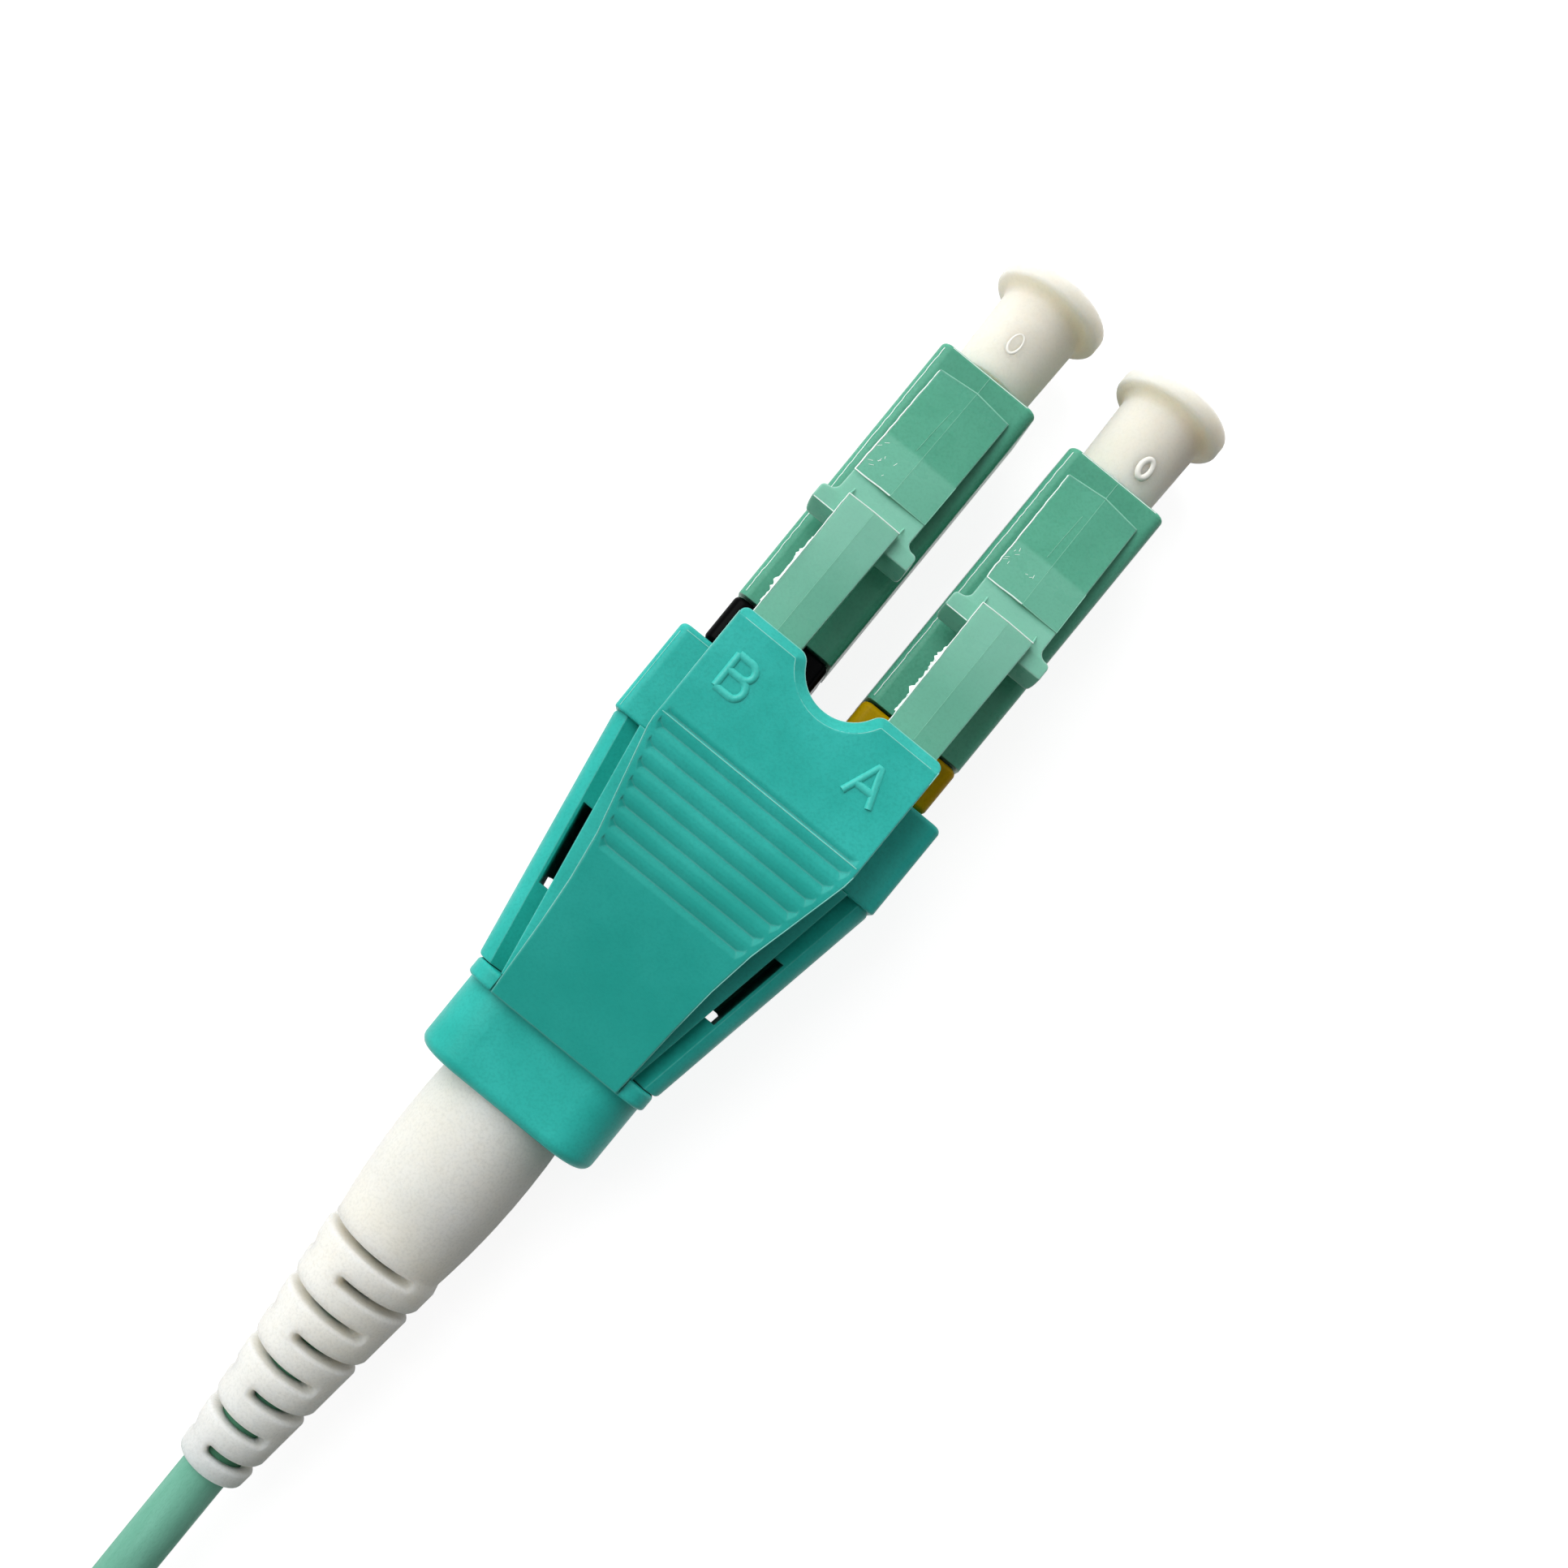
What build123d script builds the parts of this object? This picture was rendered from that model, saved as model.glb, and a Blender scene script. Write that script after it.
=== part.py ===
from build123d import *
import math
import os

# Duplex LC fibre connector with one shared boot, in millimetres.
# The origin lies midway between the two ferrule axes, on the plane of the plugs' front faces.
# +Y points out of the plugs, +Z to the latch side and +X to plug A.
# Most lengths along the connector are given as the distance behind the plugs' front faces.

# Plug pair
plug_spacing = 6.25
plug_width = 4.52
plug_length = 12.27
plug_edge_radius = 0.45
plug_nose_radius = 0.16
nose_bore_radius = 1.475
nose_bore_depth = 3.0
seat_wall = 0.8
seat_hole_radius = 0.95
plug_cavity_radius = 1.62
running_clearance = 0.04
seam_gap = 0.04
overrun = 1.0

# Ferrules, holders, springs and fibres
ferrule_radius = 0.625
ferrule_length = 6.7
ferrule_reach = 1.8
ferrule_tip_chamfer = 0.12
ferrule_travel = 0.8
ferrule_fit = 0.01
ferrule_seat_margin = 0.06
holder_corner_radius = 1.48
holder_flange_length = 1.5
holder_tail_radius = 0.85
holder_tail_length = 3.15
holder_bore_radius = 0.52
holder_passage_radius = 0.3
holder_web = 0.4
spring_wire_radius = 0.12
spring_radius = 1.2
spring_turns = 4.5
fibre_radius = 0.45
fibre_spacing = 1.0
fibre_bend_radius = 8.0
fibre_bend_setback = 2.82
fibre_bend_margin = 2.04
fibre_post_length = 3.75

# Dust caps
cap_flange_radius = 2.365
cap_flange_thickness = 0.7
cap_flange_edge = 0.16
cap_root_fillet = 0.4
cap_stem_length = 3.7
cap_stem_front_radius = 1.78
cap_stem_rear_radius = 1.69
cap_spigot_length = 2.4
cap_bore_end_gap = 0.5
cap_stand_off = {"a": 0.04, "b": 0.28}

# Latch arms
latch_front = 0.92
latch_front_chevron = 0.14
latch_bend = 4.45
latch_step = 6.45
latch_tail_front = 7.5
ear_front = 7.65
ear_rear = 8.3
latch_tail_overhang = 1.48
latch_front_rise = 0.16
latch_bend_rise = 1.04
latch_step_rise = 1.74
latch_step_drop = 0.1
ear_front_rise = 2.06
ear_rear_rise = 2.14
ear_thickness = 1.0
ear_rear_slope_length = 0.34
tail_front_rise = 2.54
tail_rear_rise = 3.19
tail_thickness = 0.9
latch_width = 3.3
ear_span = 4.42
ear_neck_fillet = 0.35
ear_corner_fillet = 0.2
tail_front_width = 2.34
tail_rear_width = 2.2
roof_drop = 0.09
latch_hinge_back = 1.35
latch_relief_angle = 9.5

# Rear bodies of the plugs
rear_body_width = 4.5
rear_body_edge = 0.45
rear_body_rim = 0.22
rear_body_length = 2.08
rear_body_gap = 0.1
neck_radius = 1.95
neck_length = 3.1
front_spigot_radius = 1.58
front_spigot_length = 3.6
rear_body_bore_radius = 1.0

# Front block
block_side_step = 0.045
block_top_step = 0.2
block_edge_radius = 0.45
block_rim_radius = 0.22
block_rear_edge_radius = 0.1
block_gap = 0.15
block_length = 4.08
block_floor = 0.95
block_passage_radius = 1.1

# Rear shells
shell_front_width = 12.33
shell_rear_width = 8.64
shell_height = 6.2
shell_edge_radius = 0.9
shell_end_radius = 0.22
shell_length = 10.36
shell_wall = 0.7
shell_roof = 0.75
shell_rear_wall = 0.88
rail_width = 1.2
rail_valley_width = 0.66
rail_valley_depth = 0.46
deck_rise = 0.35
window_setback = 3.5
window_length = 3.38
window_width = 0.47
release_hole_length = 0.6
release_hole_width = 0.6
spigot_side_inset = 1.12
spigot_top_inset = 0.6
spigot_corner = 1.2
spigot_length = 2.2
spigot_clearance = 0.05

# Collar
collar_side_inset = 0.24
collar_corner = 1.9
collar_length = 3.28
collar_rear_fillet = 0.45
collar_rim_length = 0.73
collar_rim_proud = 0.12
collar_tab_proud = 0.28
collar_rim_corner = 1.1
collar_rim_edge = 0.16
collar_boot_seat = 1.63

# Trigger
trigger_setback = 0.98
trigger_width = 9.04
trigger_straight_length = 5.35
trigger_taper_length = 4.17
trigger_waist_width = 7.06
trigger_flank_shares = ((0.275, 0.523), (0.56, 0.25))
trigger_root_width = 5.94
trigger_front_corner = 0.3
trigger_flank_fillet = 1.2
trigger_front_rise = 3.08
trigger_bevel_length = 0.42
trigger_bevel_drop = 0.34
head_length = 4.72
head_rear_rise = 3.12
grip_length = 5.1
grip_rear_rise = 2.05
trigger_root_thickness = 0.3
trigger_root_clearance = 0.08
trigger_head_under_rise = 2.23
trigger_under_stations = ((2.55, 2.23), (5.45, 1.65), (11.75, 0.72), (15.35, 0.25))
notch_half_width = 1.66
notch_depth = 1.2
notch_lip_fillet = 0.5
grip_first_setback = 0.5
grip_spacing = 0.742
grip_count = 7
grip_depth = 0.13
grip_margin = 0.22
head_slope_length = 0.24
head_rise_length = 0.07
groove_reach = 0.34
groove_shoulder_drop = 0.035
groove_overlap = 0.006
groove_fade_length = 0.3

# Crimp parts
post_nose_length = 0.75
post_flange_setback = 0.61
post_flange_length = 0.7
post_flange_radius = 2.0
post_radius = 1.5
post_bore_radius = 1.03
post_length = 6.75
sleeve_setback = 1.85
sleeve_length = 4.4
sleeve_neck_length = 1.6
sleeve_radius = 1.95
sleeve_neck_radius = 1.45

# Boot
boot_front_radius = 2.78
boot_belly_radius = 2.85
boot_neck_radius = 2.47
boot_ring_radius = 2.57
boot_tip_radius = 1.46
boot_belly_length = 3.31
boot_neck_length = 3.9
boot_step_length = 0.45
boot_tail_length = 10.6
boot_tip_fillet = 0.14
boot_cavity_clearance = 0.2
boot_bore_rear_clearance = 0.06
boot_cone_length = 0.9
slot_setback = 0.1
slot_width = 0.37
slot_lip_radius = 0.2
slot_spacing = 1.407
slot_rows = 8
odd_row_slots = ((50, 190), (224, 350))
even_row_slots = ((-30, 103), (166, 292))

# Cable
cable_radius = 1.0
cable_jacket_gap = 0.05
cable_exit_gap = 0.01
cable_straight_length = 6.24
cable_droop_length = 5.5
cable_lead_length = 5.0
cable_lead_angle = 19.6
route_arc_share = 0.45
coil_stub_length = 7.8
coil_inner_radius = 6.64
coil_outer_radius = 14.7
coil_layers_height = 8.0
coil_top_width = 4.8
coil_top_height = 2.0
coil_edge = 0.8

# Derived places
half_spacing = plug_spacing / 2
plug_top = plug_width / 2
block_width = shell_front_width + 2 * block_side_step
block_height = shell_height + 2 * block_top_step
base_level = -block_height / 2
latch_tail_rear = plug_length + latch_tail_overhang
rear_body_front = plug_length + rear_body_gap
rear_body_rear = rear_body_front + rear_body_length
block_front = rear_body_rear + block_gap
block_rear = block_front + block_length
shell_front = block_rear
shell_rear = shell_front + shell_length
shell_top = shell_height / 2
deck_top = shell_top + deck_rise
window_front = shell_front + window_setback
window_rear = window_front + window_length
spigot_width = shell_rear_width - 2 * spigot_side_inset
spigot_height = shell_height - 2 * spigot_top_inset
collar_width = shell_rear_width - 2 * collar_side_inset
rim_front = shell_rear + seam_gap
collar_front = rim_front + collar_rim_length
collar_rear = collar_front + collar_length
collar_top = block_height / 2
rim_top = collar_top + collar_rim_proud
tab_top = collar_top + collar_tab_proud
trigger_front_top = collar_top + trigger_front_rise
head_rear_top = collar_top + head_rear_rise
grip_rear_top = collar_top + grip_rear_rise
trigger_head_under = collar_top + trigger_head_under_rise
trigger_front = plug_length + trigger_setback
trigger_straight_end = trigger_front + trigger_straight_length
trigger_waist = trigger_straight_end + trigger_taper_length
head_rear = trigger_front + head_length
grip_rear = head_rear + grip_length
trigger_rear = collar_front - seam_gap
trigger_root_under = rim_top + seam_gap
trigger_root_top = trigger_root_under + trigger_root_thickness
spigot_rear = shell_rear + spigot_length
boot_front = collar_rear - collar_boot_seat + seam_gap
post_flange_front = shell_rear + post_flange_setback
post_flange_rear = post_flange_front + post_flange_length
post_front = post_flange_front - post_nose_length
post_rear = post_flange_front + post_length
sleeve_front = post_flange_rear + sleeve_setback
sleeve_shoulder = sleeve_front + sleeve_length
sleeve_rear = sleeve_shoulder + sleeve_neck_length
boot_belly = collar_rear + boot_belly_length
boot_neck = boot_belly + boot_neck_length
boot_ring = boot_neck + boot_step_length
boot_rear = boot_ring + boot_tail_length
boot_cavity_rear = sleeve_rear + boot_cavity_clearance
slot_first = boot_neck + slot_setback
cable_jacket_start = post_rear + cable_jacket_gap
cable_exit_back = boot_rear + cable_exit_gap
cable_droop_back = cable_exit_back + cable_straight_length
cable_floor_back = cable_droop_back + cable_droop_length
holder_front = nose_bore_depth + seat_wall + running_clearance
holder_rear = holder_front + holder_flange_length + holder_tail_length
ferrule_rear = ferrule_length - ferrule_reach
holder_web_rear = ferrule_rear + seam_gap + holder_web
fibre_start = holder_web_rear + ferrule_travel + ferrule_seat_margin
fibre_bend_start = shell_front + fibre_bend_setback
fibre_bend_end = shell_rear - fibre_bend_margin
fibre_end = post_flange_front + fibre_post_length
front_spigot_front = rear_body_front - front_spigot_length
plug_sides = {"a": half_spacing, "b": -half_spacing}

os.makedirs("parts", exist_ok=True)


def save(piece, name):
    """Label a finished piece and write it to its own file."""
    piece.part.label = name
    export_step(piece.part, f"parts/{name}.step")


def behind(back):
    """The cross-section plane this far behind the plugs' front faces."""
    return Plane.XZ.offset(back)


def turned(outline, centre_x=0.0):
    """A round piece along Y from its outline of radii and distances behind the front."""
    with BuildPart() as piece:
        with BuildSketch(Plane(origin=(centre_x, 0, 0), x_dir=(1, 0, 0), z_dir=(0, 0, 1))):
            with BuildLine():
                Polyline([(radius, -back) for radius, back in outline], close=True)
            make_face()
        revolve(axis=Axis((centre_x, 0, 0), (0, 1, 0)))
    return piece


def rim_edges(piece, radius, back):
    """The round edges of a turned piece with this radius at this distance behind the front."""
    close = overrun / 1000
    circles = piece.edges().filter_by(GeomType.CIRCLE)
    return circles.filter_by(
        lambda edge: abs(edge.radius - radius) < close and abs(edge.arc_center.Y + back) < close
    )


def half_width_at(back, front_back, front_half, rear_back, rear_half):
    """The half width of a straight taper at one distance behind the front."""
    share = (back - front_back) / (rear_back - front_back)
    return front_half + share * (rear_half - front_half)


# Dust caps: a flanged stem, with a spigot that enters the plug and a bore over the ferrule
def dust_cap(centre_x, stand_off):
    spigot_radius = nose_bore_radius - running_clearance
    bore_radius = ferrule_radius + running_clearance
    flange_rear = -(stand_off + cap_stem_length)
    flange_front = flange_rear - cap_flange_thickness
    bore_end = -(ferrule_reach + cap_bore_end_gap)
    cap = turned(
        [
            (0, bore_end),
            (bore_radius, bore_end),
            (bore_radius, cap_spigot_length),
            (spigot_radius, cap_spigot_length),
            (spigot_radius, -stand_off),
            (cap_stem_rear_radius, -stand_off),
            (cap_stem_front_radius, flange_rear),
            (cap_flange_radius, flange_rear),
            (cap_flange_radius, flange_front),
            (0, flange_front),
        ],
        centre_x,
    )
    with BuildPart() as rounded:
        add(cap.part)
        fillet(rim_edges(rounded, cap_stem_front_radius, flange_rear), cap_root_fillet)
        fillet(
            rim_edges(rounded, cap_flange_radius, flange_rear)
            + rim_edges(rounded, cap_flange_radius, flange_front),
            cap_flange_edge,
        )
    return rounded


# Plug housings: a square nose with a stepped bore that seats the ferrule holder
def plug_housing(centre_x):
    with BuildPart() as housing:
        with BuildSketch(behind(0)):
            with Locations((centre_x, 0)):
                RectangleRounded(plug_width, plug_width, plug_edge_radius)
        extrude(amount=plug_length)
        fillet(housing.faces().sort_by(Axis.Y)[-1].outer_wire().edges(), plug_nose_radius)
        with BuildSketch(behind(0)):
            with Locations((centre_x, 0)):
                Circle(nose_bore_radius)
        extrude(amount=nose_bore_depth, mode=Mode.SUBTRACT)
        with BuildSketch(behind(0)):
            with Locations((centre_x, 0)):
                Circle(seat_hole_radius)
        extrude(amount=plug_length, mode=Mode.SUBTRACT)
        with BuildSketch(behind(nose_bore_depth + seat_wall)):
            with Locations((centre_x, 0)):
                Circle(plug_cavity_radius)
        extrude(amount=plug_length, mode=Mode.SUBTRACT)
    return housing


# Latch arms: a ridged plate that rises from the nose, two ears and a raised tail
def latch_under(back):
    """The height of the latch arm's underside, which clears the plug when it is pressed."""
    slope = math.tan(math.radians(latch_relief_angle))
    return plug_top + running_clearance + max(0, back - latch_hinge_back) * slope


def roof_section(centre_x, back, width, under, top, drop):
    """One cross-section of a ridged bar, as a sketch to loft between."""
    with BuildSketch(behind(back)) as section:
        with BuildLine():
            Polyline(
                (centre_x - width / 2, under),
                (centre_x + width / 2, under),
                (centre_x + width / 2, top - drop),
                (centre_x, top),
                (centre_x - width / 2, top - drop),
                close=True,
            )
        make_face()
    return section.sketch


def latch_plate(centre_x):
    """The ridged plate from the nose to the step, its front edge drawn to a blunt point."""
    stations = (
        (latch_front, plug_top + latch_front_rise),
        (latch_bend, plug_top + latch_bend_rise),
        (latch_step, plug_top + latch_step_rise),
    )
    faces = [
        roof_section(centre_x, back, latch_width, latch_under(back), top, roof_drop) for back, top in stations
    ]
    with BuildPart() as plate:
        loft(faces, ruled=True)
        with BuildSketch(Plane.XY):
            with BuildLine():
                Polyline(
                    (centre_x, -latch_front),
                    (centre_x + latch_width, -latch_front - 2 * latch_front_chevron),
                    (centre_x + latch_width, -latch_step),
                    (centre_x - latch_width, -latch_step),
                    (centre_x - latch_width, -latch_front - 2 * latch_front_chevron),
                    close=True,
                )
            make_face()
        extrude(amount=plug_spacing, mode=Mode.INTERSECT)
    return plate


def latch_ears(centre_x):
    """The neck behind the plate and the two ears, with sloping rear faces."""
    neck_level = plug_top + latch_step_rise - latch_step_drop
    ear_under = plug_top + ear_rear_rise - ear_thickness
    ear_end = ear_rear + ear_rear_slope_length
    with BuildPart() as ears:
        with BuildSketch(Plane.XY.offset(plug_top)):
            with BuildLine():
                Polyline(
                    (centre_x - latch_width / 2, -latch_step),
                    (centre_x + latch_width / 2, -latch_step),
                    (centre_x + latch_width / 2, -ear_front),
                    (centre_x + ear_span / 2, -ear_front),
                    (centre_x + ear_span / 2, -ear_end),
                    (centre_x - ear_span / 2, -ear_end),
                    (centre_x - ear_span / 2, -ear_front),
                    (centre_x - latch_width / 2, -ear_front),
                    close=True,
                )
            make_face()
        extrude(amount=tail_rear_rise)
        uprights = ears.edges().filter_by(Axis.Z)
        inner = uprights.filter_by(lambda edge: abs(edge.center().Y + ear_front) < seam_gap)
        neck_edges = inner.filter_by(lambda edge: abs(edge.center().X - centre_x) < ear_span / 2 - seam_gap)
        fillet(neck_edges, ear_neck_fillet)
        uprights = ears.edges().filter_by(Axis.Z)
        outer = uprights.filter_by(lambda edge: abs(edge.center().X - centre_x) > ear_span / 2 - seam_gap)
        fillet(outer, ear_corner_fillet)
        with BuildSketch(Plane.YZ.offset(centre_x)):
            with BuildLine():
                Polyline(
                    (-latch_step, latch_under(latch_step)),
                    (-latch_step, neck_level),
                    (-ear_front, plug_top + ear_front_rise),
                    (-ear_rear, plug_top + ear_rear_rise),
                    (-ear_end, ear_under),
                    (-ear_front, ear_under),
                    close=True,
                )
            make_face()
        extrude(amount=ear_span, both=True, mode=Mode.INTERSECT)
    return ears


def latch_arm(centre_x):
    tail_stations = (
        (latch_tail_front, tail_front_width, plug_top + tail_front_rise),
        (latch_tail_rear, tail_rear_width, plug_top + tail_rear_rise),
    )
    tail_faces = [
        roof_section(centre_x, back, width, top - tail_thickness, top, roof_drop)
        for back, width, top in tail_stations
    ]
    with BuildPart() as arm:
        loft(tail_faces, ruled=True)
        add(latch_ears(centre_x).part)
        add(latch_plate(centre_x).part)
    return arm


# Ferrules and the hexagonal holders that carry them
def ferrule(centre_x):
    return turned(
        [
            (0, -ferrule_reach),
            (ferrule_radius - ferrule_tip_chamfer, -ferrule_reach),
            (ferrule_radius, ferrule_tip_chamfer - ferrule_reach),
            (ferrule_radius, ferrule_rear),
            (0, ferrule_rear),
        ],
        centre_x,
    )


def ferrule_holder(centre_x):
    ferrule_seat_depth = ferrule_rear + seam_gap - holder_front
    with BuildPart() as holder:
        with BuildSketch(behind(holder_front)):
            with Locations((centre_x, 0)):
                RegularPolygon(holder_corner_radius, 6)
        extrude(amount=holder_flange_length)
        with BuildSketch(behind(holder_front + holder_flange_length)):
            with Locations((centre_x, 0)):
                Circle(holder_tail_radius)
        extrude(amount=holder_tail_length)
        with BuildSketch(behind(holder_front)):
            with Locations((centre_x, 0)):
                Circle(holder_passage_radius)
        extrude(amount=holder_rear - holder_front, mode=Mode.SUBTRACT)
        with BuildSketch(behind(holder_front)):
            with Locations((centre_x, 0)):
                Circle(ferrule_radius + ferrule_fit)
        extrude(amount=ferrule_seat_depth, mode=Mode.SUBTRACT)
        with BuildSketch(behind(holder_front + ferrule_seat_depth + holder_web)):
            with Locations((centre_x, 0)):
                Circle(holder_bore_radius)
        extrude(amount=holder_rear, mode=Mode.SUBTRACT)
    return holder


# Springs: a round wire coiled between the holder's flange and the rear body's spigot
def ferrule_spring(centre_x):
    coil_front = holder_front + holder_flange_length + spring_wire_radius + seam_gap
    coil_rear = front_spigot_front - spring_wire_radius - seam_gap
    coil_length = coil_rear - coil_front
    with BuildPart() as spring:
        with BuildLine() as path:
            Helix(
                pitch=coil_length / spring_turns,
                height=coil_length,
                radius=spring_radius,
                center=(centre_x, -coil_front, 0),
                direction=(0, -1, 0),
            )
        start = path.line
        with BuildSketch(Plane(origin=start @ 0, z_dir=start % 0)):
            Circle(spring_wire_radius)
        sweep(path=start, is_frenet=True)
    return spring


# Rear bodies: a square shoulder, a spigot into the plug and a round neck that can turn
def rear_body(centre_x):
    with BuildPart() as body:
        with BuildSketch(behind(rear_body_front)):
            with Locations((centre_x, 0)):
                RectangleRounded(rear_body_width, rear_body_width, rear_body_edge)
        extrude(amount=rear_body_length)
        fillet(body.faces().sort_by(Axis.Y)[0].edges(), rear_body_rim)
        fillet(body.faces().sort_by(Axis.Y)[-1].edges(), rear_body_rim)
        with BuildSketch(behind(front_spigot_front)):
            with Locations((centre_x, 0)):
                Circle(front_spigot_radius)
        extrude(amount=front_spigot_length)
        with BuildSketch(behind(rear_body_rear)):
            with Locations((centre_x, 0)):
                Circle(neck_radius)
        extrude(amount=neck_length)
        with BuildSketch(behind(front_spigot_front)):
            with Locations((centre_x, 0)):
                Circle(rear_body_bore_radius)
        extrude(amount=fibre_end, mode=Mode.SUBTRACT)
    return body


# Fibres: from the holders straight back, then together into the crimp post
def fibre(centre_x):
    inner_x = math.copysign(fibre_spacing / 2, centre_x)
    with BuildPart() as tube:
        with BuildLine() as path:
            FilletPolyline(
                (centre_x, -fibre_start, 0),
                (centre_x, -fibre_bend_start, 0),
                (inner_x, -fibre_bend_end, 0),
                (inner_x, -fibre_end, 0),
                radius=fibre_bend_radius,
            )
        with BuildSketch(Plane(origin=(centre_x, -fibre_start, 0), z_dir=(0, -1, 0))):
            Circle(fibre_radius)
        sweep(path=path.line)
    return tube


# Rear shells: two tapered halves with side windows and a spigot that enters the collar
def shell_half_width(back):
    return half_width_at(back, shell_front, shell_front_width / 2, shell_rear, shell_rear_width / 2)


def deck_half_width(back):
    return shell_half_width(back) - rail_width


def valley_section(side, back):
    """The cut between a rail and the deck, at one distance behind the front."""
    inner_x = side * deck_half_width(back)
    outer_x = side * (deck_half_width(back) + rail_valley_width)
    with BuildSketch(behind(back)) as section:
        with BuildLine():
            Polyline(
                (inner_x, shell_top - rail_valley_depth),
                (outer_x, shell_top),
                (outer_x, shell_top + overrun),
                (inner_x, shell_top + overrun),
                close=True,
            )
        make_face()
    return section.sketch


def cavity_section(back):
    with BuildSketch(behind(back)) as section:
        RectangleRounded(
            2 * (shell_half_width(back) - shell_wall), shell_height - 2 * shell_roof, shell_edge_radius / 2
        )
    return section.sketch


def rear_shell(half):
    cavity_front = shell_front + shell_wall
    cavity_rear = shell_rear - shell_rear_wall
    with BuildPart() as shell:
        with BuildSketch(behind(shell_front)):
            RectangleRounded(shell_front_width, shell_height, shell_edge_radius)
        with BuildSketch(behind(shell_rear)):
            RectangleRounded(shell_rear_width, shell_height, shell_edge_radius)
        loft(ruled=True)
        with BuildSketch(Plane.XY) as plan:
            with BuildLine():
                Polyline(
                    (-shell_half_width(shell_front), -shell_front),
                    (shell_half_width(shell_front), -shell_front),
                    (shell_half_width(shell_rear), -shell_rear),
                    (-shell_half_width(shell_rear), -shell_rear),
                    close=True,
                )
            make_face()
            fillet(plan.vertices(), shell_end_radius)
        extrude(amount=shell_height, both=True, mode=Mode.INTERSECT)
        for side in (-1, 1):
            valley_faces = [valley_section(side, back) for back in (shell_front, shell_rear)]
            loft(valley_faces, ruled=True, mode=Mode.SUBTRACT)
        with BuildSketch(Plane.XY):
            with BuildLine():
                Polyline(
                    (-deck_half_width(shell_front), -shell_front),
                    (deck_half_width(shell_front), -shell_front),
                    (deck_half_width(shell_rear), -shell_rear),
                    (-deck_half_width(shell_rear), -shell_rear),
                    close=True,
                )
            make_face()
        extrude(amount=deck_top)
        with BuildSketch(behind(shell_rear)):
            RectangleRounded(spigot_width, spigot_height, spigot_corner)
        extrude(amount=spigot_length)
        cavity_faces = [cavity_section(back) for back in (cavity_front, cavity_rear)]
        loft(cavity_faces, ruled=True, mode=Mode.SUBTRACT)
        with BuildSketch(behind(shell_front)):
            with Locations((-half_spacing, 0), (half_spacing, 0)):
                Circle(block_passage_radius)
        extrude(amount=shell_wall + overrun, mode=Mode.SUBTRACT)
        with BuildSketch(behind(cavity_rear - overrun)):
            Circle(post_radius + seam_gap)
        extrude(amount=spigot_rear - cavity_rear + 2 * overrun, mode=Mode.SUBTRACT)
        with BuildSketch(behind(post_flange_front - seam_gap)):
            Circle(post_flange_radius + seam_gap)
        extrude(amount=post_flange_length + 2 * seam_gap, mode=Mode.SUBTRACT)
        for side in (-1, 1):
            with BuildSketch(Plane.XY):
                with BuildLine():
                    Polyline(
                        (side * deck_half_width(window_front), -window_front),
                        (side * (deck_half_width(window_front) + window_width), -window_front),
                        (side * (deck_half_width(window_rear) + window_width), -window_rear),
                        (side * deck_half_width(window_rear), -window_rear),
                        close=True,
                    )
                make_face()
            extrude(amount=block_height, mode=Mode.SUBTRACT)
            release_x = deck_half_width(window_rear) + window_width + release_hole_width / 4
            with BuildSketch(Plane.XY):
                with Locations((side * release_x, -window_rear)):
                    Rectangle(release_hole_width, release_hole_length)
            extrude(amount=-block_height, mode=Mode.SUBTRACT)
        split(bisect_by=Plane.XY, keep=half)
    return shell


# Boot slots: arcs cut through the wall, with round ends
def boot_radius(back):
    return half_width_at(back, boot_ring, boot_ring_radius, boot_rear, boot_tip_radius)


def outward(angle):
    """The direction from the boot's axis at this angle from +X, and the one square to it."""
    turn = math.radians(angle)
    return (math.cos(turn), 0, math.sin(turn)), (math.sin(turn), 0, -math.cos(turn))


def slot_lip(surface_radius):
    """The slot's half outline at its mouth: wall end, middle and end of the round lip, and beyond."""
    points = []
    for angle in (0, 30, 60):
        turn = math.radians(angle)
        reach = surface_radius - slot_lip_radius + slot_lip_radius * math.sin(turn)
        points.append((reach, slot_width / 2 + slot_lip_radius - slot_lip_radius * math.cos(turn)))
    last_reach, last_side = points[-1]
    run_out = 3 * slot_lip_radius
    points.append((last_reach + run_out * math.cos(turn), last_side + run_out * math.sin(turn)))
    return points


# Plugs A and B, piece by piece
for side_name, plug_x in plug_sides.items():
    save(dust_cap(plug_x, cap_stand_off[side_name]), f"dust_cap_{side_name}")
    save(plug_housing(plug_x), f"plug_housing_{side_name}")
    save(latch_arm(plug_x), f"latch_arm_{side_name}")
    save(ferrule(plug_x), f"ferrule_{side_name}")
    save(ferrule_holder(plug_x), f"ferrule_holder_{side_name}")
    save(ferrule_spring(plug_x), f"ferrule_spring_{side_name}")
    save(rear_body(plug_x), f"rear_body_{side_name}")
    save(fibre(plug_x), f"fibre_{side_name}")

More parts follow.
